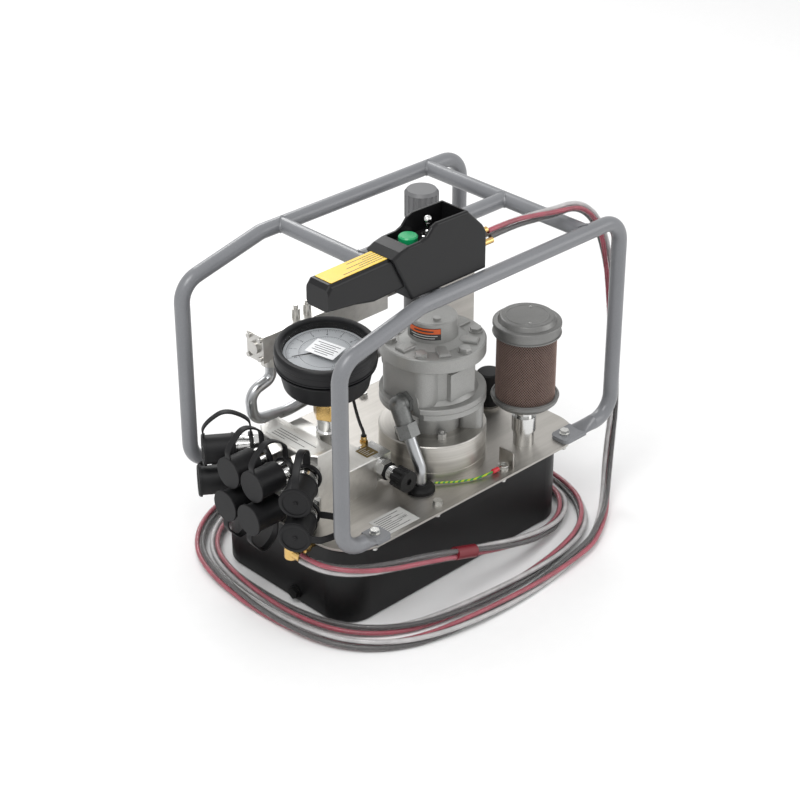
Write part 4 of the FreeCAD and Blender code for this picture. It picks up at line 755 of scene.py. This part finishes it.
def make_gauge():
    place = gauge_matrix()
    paper = surface("dial_face", (0.44, 0.46, 0.48), (0.53, 0.55, 0.57), (0.35, 0.5), grain=1500,
                    relief=0.03)
    ink = surface("dial_ink", (0.015, 0.015, 0.02), (0.03, 0.03, 0.035), (0.5, 0.6))
    red = surface("dial_red", (0.45, 0.01, 0.02), (0.55, 0.02, 0.03), (0.4, 0.5))
    face = bmesh.new()
    lathe(face, [(0, -0.9), (0, -0.2), (48.6, -0.2), (49.2, -0.5), (49.2, -0.9)], 96)
    shaped("gauge_dial", face, place, paper)
    ticks = bmesh.new()
    for k in range(101):
        turn = math.radians(DIAL_START - DIAL_SWEEP * k / 100)
        length, width = (6.5, 0.55) if k % 10 == 0 else ((4.6, 0.4) if k % 5 == 0 else (3.0, 0.26))
        dial_bar(ticks, turn, 45.2 - length, 45.2, width, -0.2, -0.12)
    lathe(ticks, [(45.2, -0.2), (45.2, -0.12), (45.6, -0.12), (45.6, -0.2)], 120)
    lathe(ticks, [(30.6, -0.2), (30.6, -0.12), (30.9, -0.12), (30.9, -0.2)], 96)
    for k in range(55):
        turn = math.radians(DIAL_START - DIAL_SWEEP * k / 54)
        dial_bar(ticks, turn, 28.6 if k % 9 else 27.4, 30.6, 0.25, -0.2, -0.12)
    shaped("gauge_ticks", ticks, place, ink, smooth=False)
    mark = bmesh.new()
    for k in range(6):
        dial_bar(mark, math.radians(-96 - 2.1 * k), 45.6, 48.0, 1.9, -0.2, -0.1)
    shaped("gauge_limit_mark", mark, place, red, smooth=False)
    numbers = []
    for k in range(11):
        angle = DIAL_START - DIAL_SWEEP * k / 10
        turn = math.radians(angle)
        numbers.append((str(k), 35.2 * math.cos(turn), 35.2 * math.sin(turn), angle - 90))
    text_piece("gauge_numbers", numbers, 5.6, place @ Matrix.Translation((0, 0, -0.14 * MM)), ink)
    sticker = place @ Matrix.Translation((-3 * MM, -3 * MM, 6.62 * MM))
    sticker = sticker @ Matrix.Rotation(math.radians(-75), 4, "Z")
    plain = surface("sticker_white", (0.74, 0.75, 0.76), (0.82, 0.83, 0.84), (0.4, 0.5))
    plate("gauge_sticker", 38, 28, sticker, plain, radius=0.8, thick=0.15)
    rows = [(0, 9.5 - 3.8 * k, (30, 21, 32, 26, 29, 18)[k], 1.0) for k in range(6)]
    bars("gauge_sticker_lines", rows, sticker, ink, lift=0.15)
    bezel = bmesh.new()
    lathe(bezel, [(50.4, 7.0), (50.4, 8.6), (51.4, 10.4), (53.6, 11.2), (56.8, 10.9), (58.8, 9.2),
                  (59.6, 6.6), (59.6, 1.8), (58.9, 0.9), (58.9, 7.2)], 112)
    rim = shaped("gauge_boot_rim", bezel, place, FINISH["boot_rubber"])
    ridge = bmesh.new()
    for low in (-9.6, -14.4):
        taper = 0 if low > -12 else -0.9
        lathe(ridge, [(57 + taper, low - 0.6), (59.4 + taper, low), (60.1 + taper, low + 1),
                      (59.8 + taper, low + 2.1), (57 + taper, low + 2.8)], 96)
    moulded = shaped("gauge_boot_ridges", ridge, place, FINISH["boot_rubber"])
    make_gauge_brass(place)
    boss = bmesh.new()
    lathe(boss, [(0, 3.0), (0, 3.9), (1.4, 3.9), (2.6, 3.4), (3.1, 3.0)], 32)
    hub = shaped("gauge_pointer_hub", boss, place, FINISH["pointer_black"], "gauge_pointer")


# ---------------------------------------------------------------- exhaust muffler

def make_muffler():
    """A diamond mesh sleeve over a felt cylinder, and two rivets on the cap."""
    centre = middle("muffler_mesh")
    low, high = (corner.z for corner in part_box("muffler_mesh"))
    across, rows = 74, 46
    radius = 36.4
    step = (high - low) / MM / rows
    bm = bmesh.new()
    grid = []
    for row in range(rows + 1):
        ring = []
        for k in range(across):
            turn = FULL_TURN * (k + 0.5 * (row % 2)) / across
            ring.append(bm.verts.new((radius * math.cos(turn), radius * math.sin(turn), row * step)))
        grid.append(ring)
    for row in range(rows - 1):
        for k in range(across):
            left = (k + row % 2) % across
            right = (left - 1) % across
            bm.faces.new((grid[row][k], grid[row + 1][left], grid[row + 2][k], grid[row + 1][right]))
    place = Matrix.Translation((centre.x, centre.y, low))
    sleeve = shaped("muffler_sleeve", bm, place, FINISH["muffler_mesh"])
    wire = sleeve.modifiers.new("wire", "WIREFRAME")
    wire.thickness = 0.75 * MM
    wire.use_even_offset = False
    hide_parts("muffler_mesh")
    felt = bmesh.new()
    lathe(felt, [(0, 0), (35.4, 0), (35.4, (high - low) / MM), (0, (high - low) / MM)], 64)
    lining = surface("muffler_felt", (0.045, 0.026, 0.02), (0.09, 0.056, 0.046), (0.75, 0.9), grain=700,
                     relief=0.6, depth=0.0006)
    shaped("muffler_lining", felt, place, lining)
    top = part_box("muffler_cap")[1].z
    rivets = bmesh.new()
    for x, y in ((-14, -17), (18, 12)):
        made = bmesh.ops.create_uvsphere(rivets, u_segments=20, v_segments=10, radius=2.1)
        bmesh.ops.scale(rivets, vec=(1, 1, 0.55), verts=made["verts"])
        bmesh.ops.translate(rivets, vec=(x, y, 0), verts=made["verts"])
    shaped("muffler_rivets", rivets, Matrix.Translation((centre.x, centre.y, top)),
           FINISH["casting_screws"])
    bead = bmesh.new()
    lathe(bead, [(24.5, -0.2), (25, 0.35), (26, 0.5), (27, 0.35), (27.5, -0.2)], 72)
    shaped("muffler_cap_bead", bead, Matrix.Translation((centre.x, centre.y, top)),
           FINISH["muffler_cast"])
    seams = bmesh.new()
    for height in (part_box("muffler_cap")[0].z + 1.5 * MM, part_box("muffler_base")[1].z - 2.2 * MM):
        flat = (height - low) / MM
        lathe(seams, [(40.2, flat - 1.1), (41.9, flat - 0.8), (42.2, flat), (41.9, flat + 0.8),
                      (40.2, flat + 1.1)], 80)
    shaped("muffler_seams", seams, place, FINISH["muffler_cast"])


# ---------------------------------------------------------------- labels

def label_finishes():
    return {
        "silver": surface("label_silver", (0.50, 0.50, 0.48), (0.62, 0.62, 0.60), (0.3, 0.42), 0.5,
                          stretch=(1, 20, 1)),
        "white": surface("label_white", (0.40, 0.40, 0.385), (0.49, 0.49, 0.475), (0.38, 0.52)),
        "gold": surface("label_gold", (0.12, 0.078, 0.018), (0.19, 0.13, 0.036), (0.34, 0.48), 0.6),
        "orange": surface("label_orange", (0.62, 0.085, 0.008), (0.76, 0.13, 0.015), (0.3, 0.4)),
        "yellow": surface("label_yellow", (0.68, 0.43, 0.015), (0.80, 0.54, 0.03), (0.28, 0.4)),
        "ink": surface("label_ink", (0.02, 0.02, 0.02), (0.045, 0.045, 0.045), (0.4, 0.55)),
        "pale": surface("label_pale_ink", (0.52, 0.52, 0.50), (0.60, 0.60, 0.58), (0.4, 0.55)),
    }


def text_rows(width, count, pitch, lengths, height=0.9, first=0.0):
    """Bars in place of lines of writing, ranged left."""
    rows = []
    for k in range(count):
        length = width * lengths[k % len(lengths)]
        rows.append(((length - width) / 2, first - pitch * k, length, height))
    return rows


def make_deck_label(label):
    place = facing(on_deck(-129, -115.5), UP, (1, 0, 0))
    plate("deck_label", 50, 35, place, label["white"])
    rows = text_rows(42, 8, 3.5, (0.9, 0.6, 0.8, 0.45, 0.95, 0.7, 0.5, 0.85), 0.9, 12.6)
    bars("deck_label_lines", rows, place, label["ink"])
    boxes = [(13, 5.0, 12, 0.35), (13, 0.8, 12, 0.35), (13, -3.4, 12, 0.35)]
    bars("deck_label_rules", boxes, place, label["ink"])


def make_block_labels(label):
    strip = facing(on_deck(-183.5, -5, 84), UP, (0, -1, 0))
    plate("manifold_label", 78, 23, strip, label["silver"])
    bars("manifold_label_lines", text_rows(66, 4, 4.4, (0.95, 0.55, 0.8, 0.35), 1.0, 6.6), strip,
         label["ink"])
    side = facing(on_deck(-127, 46, 42), UP, (0, -1, 0))
    plate("block_label", 62, 30, side, label["silver"])
    bars("block_label_lines", text_rows(52, 5, 4.6, (0.85, 0.5, 0.9, 0.7, 0.4), 1.1, 9.4), side,
         label["ink"])
    small = facing(on_deck(-93, -31, 42), UP, (1, 0, 0))
    plate("valve_label", 19, 21, small, label["gold"])
    bars("valve_label_lines", text_rows(14, 5, 3.4, (0.9, 0.6, 0.8, 0.5, 0.9), 0.8, 6.8), small,
         label["pale"])


def boss_radius_at(height):
    """The motor cover's boss narrows upwards. Both in millimetres, height above the deck."""
    return 30.5 - 0.06 * (height - 169)


def bent_label(name, centre, lift, middle_angle, half_angle, base, top, finish):
    """A label wrapped on the motor cover's boss, heights in millimetres above the deck."""
    low_radius = boss_radius_at(base) + lift
    high_radius = boss_radius_at(top) + lift
    bm = bmesh.new()
    steps = 20
    columns = []
    for k in range(steps + 1):
        turn = math.radians(middle_angle + half_angle * (2 * k / steps - 1))
        columns.append([bm.verts.new((r * math.cos(turn), r * math.sin(turn), z))
                        for r, z in ((low_radius, base), (high_radius, top),
                                     (high_radius + 0.3, top), (low_radius + 0.3, base))])
    for here, following in zip(columns, columns[1:]):
        for i in range(4):
            j = (i + 1) % 4
            bm.faces.new((here[i], following[i], following[j], here[j]))
    bm.faces.new(columns[0])
    bm.faces.new(columns[-1][::-1])
    return shaped(name, bm, Matrix.Translation((centre.x, centre.y, DECK)), finish)


def make_motor_band(label):
    centre = middle("mount_ring")
    front = -158
    bent_label("motor_band_dark", centre, 0.15, front, 41, 173.8, 188.4, label["ink"])
    bent_label("motor_band_orange", centre, 0.4, front, 40, 181.6, 187.9, label["orange"])
    for k, (half, height) in enumerate(((33, 178.6), (27, 175.6))):
        bent_label(f"motor_band_line_{k}", centre, 0.4, front, half, height, height + 0.9,
                   label["pale"])
    bent_label("motor_band_word", centre, 0.65, front, 24, 183.9, 185.5, label["ink"])


def make_pendant_label(label):
    grip_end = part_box("pendant_body")[0].x
    label_x = grip_end + 57 * MM
    grip_top = on_deck(0, 0, 346.05).z
    place = facing(Vector((label_x, middle("pendant_body").y, grip_top)),
                   (-0.0165, 0, 1), (-1, 0, 0))
    plate("pendant_label", 98, 26, place, label["yellow"], "pendant", 1.5, 0.45)
    rows = text_rows(74, 5, 4.0, (0.86, 0.5, 0.7, 0.34, 0.6), 1.0, 8.0)
    bars("pendant_label_lines", rows, place, label["ink"], "pendant", 0.45)


# ---------------------------------------------------------------- fittings

def hexagon_outline(flats):
    reach = flats / math.sqrt(3)
    return [(reach * math.cos(math.radians(60 * k)), reach * math.sin(math.radians(60 * k)))
            for k in range(6)]


def make_push_fitting(name, foot, outward, finish_body, finish_ring):
    """A small threaded body with a push-in collar for a pilot tube."""
    place = facing(foot, outward, (0.3, 1, 0.2))
    bm = bmesh.new()
    extrude(bm, hexagon_outline(9), 0, 4.2)
    bmesh.ops.bevel(bm, geom=bm.edges[:], offset=0.35, segments=2, affect="EDGES")
    lathe(bm, [(0, 4), (3.7, 4), (3.7, 9), (3.1, 10), (0, 10)], 28)
    shaped(name, bm, place, finish_body)
    collar = bmesh.new()
    lathe(collar, [(2.0, 9.6), (3.3, 9.6), (3.6, 10.4), (3.6, 11.2), (2.0, 11.6)], 28)
    shaped(f"{name}_collar", collar, place, finish_ring)


def make_pilot_line(name, route, finish, radius=2.0):
    line = smooth_line([on_deck(*spot) for spot in route])
    bm = bmesh.new()
    sweep(bm, line, ring_outline(radius * MM, 12), (0, 0, 1))
    return swept(name, bm, finish)


def make_pilot_lines():
    red = surface("pilot_red", (0.30, 0.008, 0.03), (0.42, 0.02, 0.05), (0.25, 0.35))
    clear = surface("pilot_clear", (0.62, 0.62, 0.62), (0.74, 0.74, 0.74), (0.15, 0.25), alpha=0.6)
    black = surface("pilot_black", (0.012, 0.012, 0.012), (0.02, 0.02, 0.02), (0.3, 0.4))
    brass, dark = FINISH["brass_fitting"], FINISH["black_plastic"]
    routes = {
        "red": ((-108, -8, 42), UP, [(-108, -8, 52), (-108, -7, 60), (-100, 0, 68), (-86, 14, 80),
                                     (-72, 36, 100), (-64, 60, 122), (-62, 76, 136),
                                     (-62, 88, 142)], red),
        "clear": ((-108, 10, 42), UP, [(-108, 10, 52), (-108, 11, 62), (-100, 20, 74), (-90, 34, 92),
                                       (-84, 54, 114), (-82, 72, 132), (-82, 88, 142)], clear),
        "black": ((-82, -14, 42), UP, [(-82, -14, 52), (-82, -14, 58), (-78, -4, 61),
                                       (-70, 12, 70), (-62, 30, 92), (-52, 54, 116),
                                       (-44, 72, 134), (-42, 88, 142)], black),
    }
    for name, (foot, outward, route, finish) in routes.items():
        make_push_fitting(f"pilot_fitting_{name}", on_deck(*foot), outward, brass, dark)
        make_pilot_line(f"pilot_line_{name}", route, finish)


def add_placed(target, source, matrix):
    """Move a bmesh to its place, add it to another, and free it."""
    mesh = bpy.data.meshes.new("placed")
    source.transform(matrix)
    source.to_mesh(mesh)
    source.free()
    target.from_mesh(mesh)
    bpy.data.meshes.remove(mesh)


def make_block_plugs():
    """Hexagon socket plugs in the blocks' faces, each with a near-black hexagon in its socket as painted shade."""
    plugs = bmesh.new()
    painted_socket_shade = bmesh.new()
    spots = [((-146, 64, 42), (0, 0, 1)), ((-176, 50.4, 60), (0, 1, 0)),
             ((-110, 86, 20), (0, 1, 0)), ((-140, 86, 20), (0, 1, 0))]
    for foot, outward in spots:
        turn = facing(on_deck(*foot) / MM, outward, (0.2, 1, 1))
        plug = bmesh.new()
        lathe(plug, [(3.0, -1), (3.0, 0.9), (4.6, 1.2), (6.2, 0.8), (6.6, -1)], 32)
        add_placed(plugs, plug, turn)
        # A near-black hexagon sunk in each plug is painted shade inside its socket
        hole = bmesh.new()
        extrude(hole, hexagon_outline(5.4), -0.8, 0.15)
        add_placed(painted_socket_shade, hole, turn)
    shaped("block_plugs", plugs, Matrix.Identity(4), FINISH["bright_steel"])
    shaped("block_plug_socket_painted_shade", painted_socket_shade, Matrix.Identity(4), FINISH["gauge_steel"], smooth=False)


def make_relief_trim():
    """A black seal ring and a bright cartridge end behind the knob."""
    axis = Vector(joint_named("relief_turn")["axis"])
    start = Vector(joint_named("relief_turn")["pos_m"])
    start.y = on_deck(0, -50).y
    place = facing(start, axis, (1, 0, 0))
    ring = bmesh.new()
    lathe(ring, [(9.2, 13.2), (10.6, 13.6), (11.2, 14.6), (10.6, 15.6), (9.2, 16)], 40)
    shaped("relief_seal_ring", ring, place, FINISH["seal_rubber"])
    grooves = bmesh.new()
    profile = [(8.3, 17)]
    for k in range(4):
        profile += [(9.5, 17.4 + 2 * k), (9.5, 18.4 + 2 * k), (8.9, 18.8 + 2 * k), (8.9, 19.2 + 2 * k)]
    profile.append((8.3, 25.4))
    lathe(grooves, profile, 48)
    cartridge = shaped("relief_cartridge", grooves, place, FINISH["bright_steel"])


def make_toggle_trim():
    """The nut round the pendant's lever, and a bezel under its button."""
    floor = on_deck(0, 0, 345).z
    lever = middle("pendant_toggle")
    bush = bmesh.new()
    lathe(bush, [(6.2, 0), (6.2, 2.0), (8.0, 2.0), (8.6, 1.4), (8.6, 0)], 6)
    shaped("pendant_lever_nut", bush, Matrix.Translation((lever.x, lever.y, floor)),
           FINISH["bright_steel"], "pendant", smooth=False)
    button = middle("pendant_button")
    bezel = bmesh.new()
    lathe(bezel, [(11.6, 0), (11.6, 4.6), (12.4, 5.2), (13.4, 4.6), (13.8, 0)], 48)
    shaped("pendant_button_bezel", bezel, Matrix.Translation((button.x, button.y, floor)),
           FINISH["black_plastic"], "pendant")


def make_earth_terminal():
    """A red sleeve and a ring terminal where the earth lead meets the deck."""
    red = surface("sleeve_red", (0.42, 0.012, 0.02), (0.55, 0.03, 0.04), (0.3, 0.4))
    place = facing(on_deck(27, -124.4, 3.8), (1, 0, 0), (0, 1, 0))
    bm = bmesh.new()
    lathe(bm, [(1.5, 0), (2.9, 0.4), (3.1, 1.2), (3.1, 9), (2.7, 10.2), (1.5, 10.4)], 24)
    shaped("earth_sleeve", bm, place, red)
    tongue = bmesh.new()
    lathe(tongue, [(3.4, 6.0), (3.4, 7.0), (7.0, 7.0), (7.0, 6.0)], 36)
    shaped("earth_ring_terminal", tongue, Matrix.Translation(on_deck(46, -125, 0.2)),
           FINISH["bright_steel"])


def make_frame_welds():
    """A fillet of weld round each end of the cross bars and the carrying bar."""
    low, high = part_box("crossbars")
    height = on_deck(0, 0, 279.5).z
    front = low.x + 9.5 * MM
    rear = high.x - 9.5 * MM
    joints = [((x, side * 135 * MM, height), (0, -side, 0)) for x in (front, rear)
              for side in (1, -1)]
    joints += [((front, 0, height), (1, 0, 0)), ((rear, 0, height), (-1, 0, 0))]
    bm = bmesh.new()
    radius = 9.5
    section = 1.7
    steps = 56
    for place, outward in joints:
        along = Vector(outward)
        ring = []
        for k in range(steps):
            turn = FULL_TURN * k / steps
            across = along.cross(UP) * math.cos(turn) + UP * math.sin(turn)
            depth = math.sqrt(max(radius ** 2 - (radius * math.sin(turn)) ** 2, 0.0))
            spot = Vector(place) / MM + across * radius + along * depth
            ripple = section * (1 + 0.16 * math.sin(9 * turn) + 0.1 * math.sin(23 * turn + 1))
            outer = (across + along).normalized()
            corners = (across * ripple * 0.85, outer * ripple * 0.62, along * ripple,
                       -outer * ripple * 0.4)
            ring.append([bm.verts.new(spot + corner) for corner in corners])
        for k in range(steps):
            here, following = ring[k], ring[(k + 1) % steps]
            for i in range(4):
                j = (i + 1) % 4
                bm.faces.new((here[i], following[i], following[j], here[j]))
    welds = shaped("frame_welds", bm, Matrix.Identity(4), FINISH["frame_paint"])


def make_floor():
    """A pale floor that runs far past the view."""
    bm = bmesh.new()
    bmesh.ops.create_grid(bm, x_segments=4, y_segments=4, size=9000)
    finish = surface("floor", (0.86, 0.86, 0.86), (0.88, 0.88, 0.88), (0.75, 0.85), patch=2, grain=60,
                     relief=0.01)
    place = Matrix.Translation((0, 0, -0.0004))
    floor = shaped("floor", bm, place, finish)
    floor.parent = None


# ---------------------------------------------------------------- the whole unit

add_camera()
add_studio()
FINISH = make_finishes()
make_hose()
paint_nodes(FINISH)
make_caps()
make_gauge()
make_muffler()
LABEL = label_finishes()
make_deck_label(LABEL)
make_block_labels(LABEL)
make_motor_band(LABEL)
make_pendant_label(LABEL)
make_pilot_lines()
make_block_plugs()
make_relief_trim()
make_toggle_trim()
make_earth_terminal()
make_frame_welds()
make_floor()
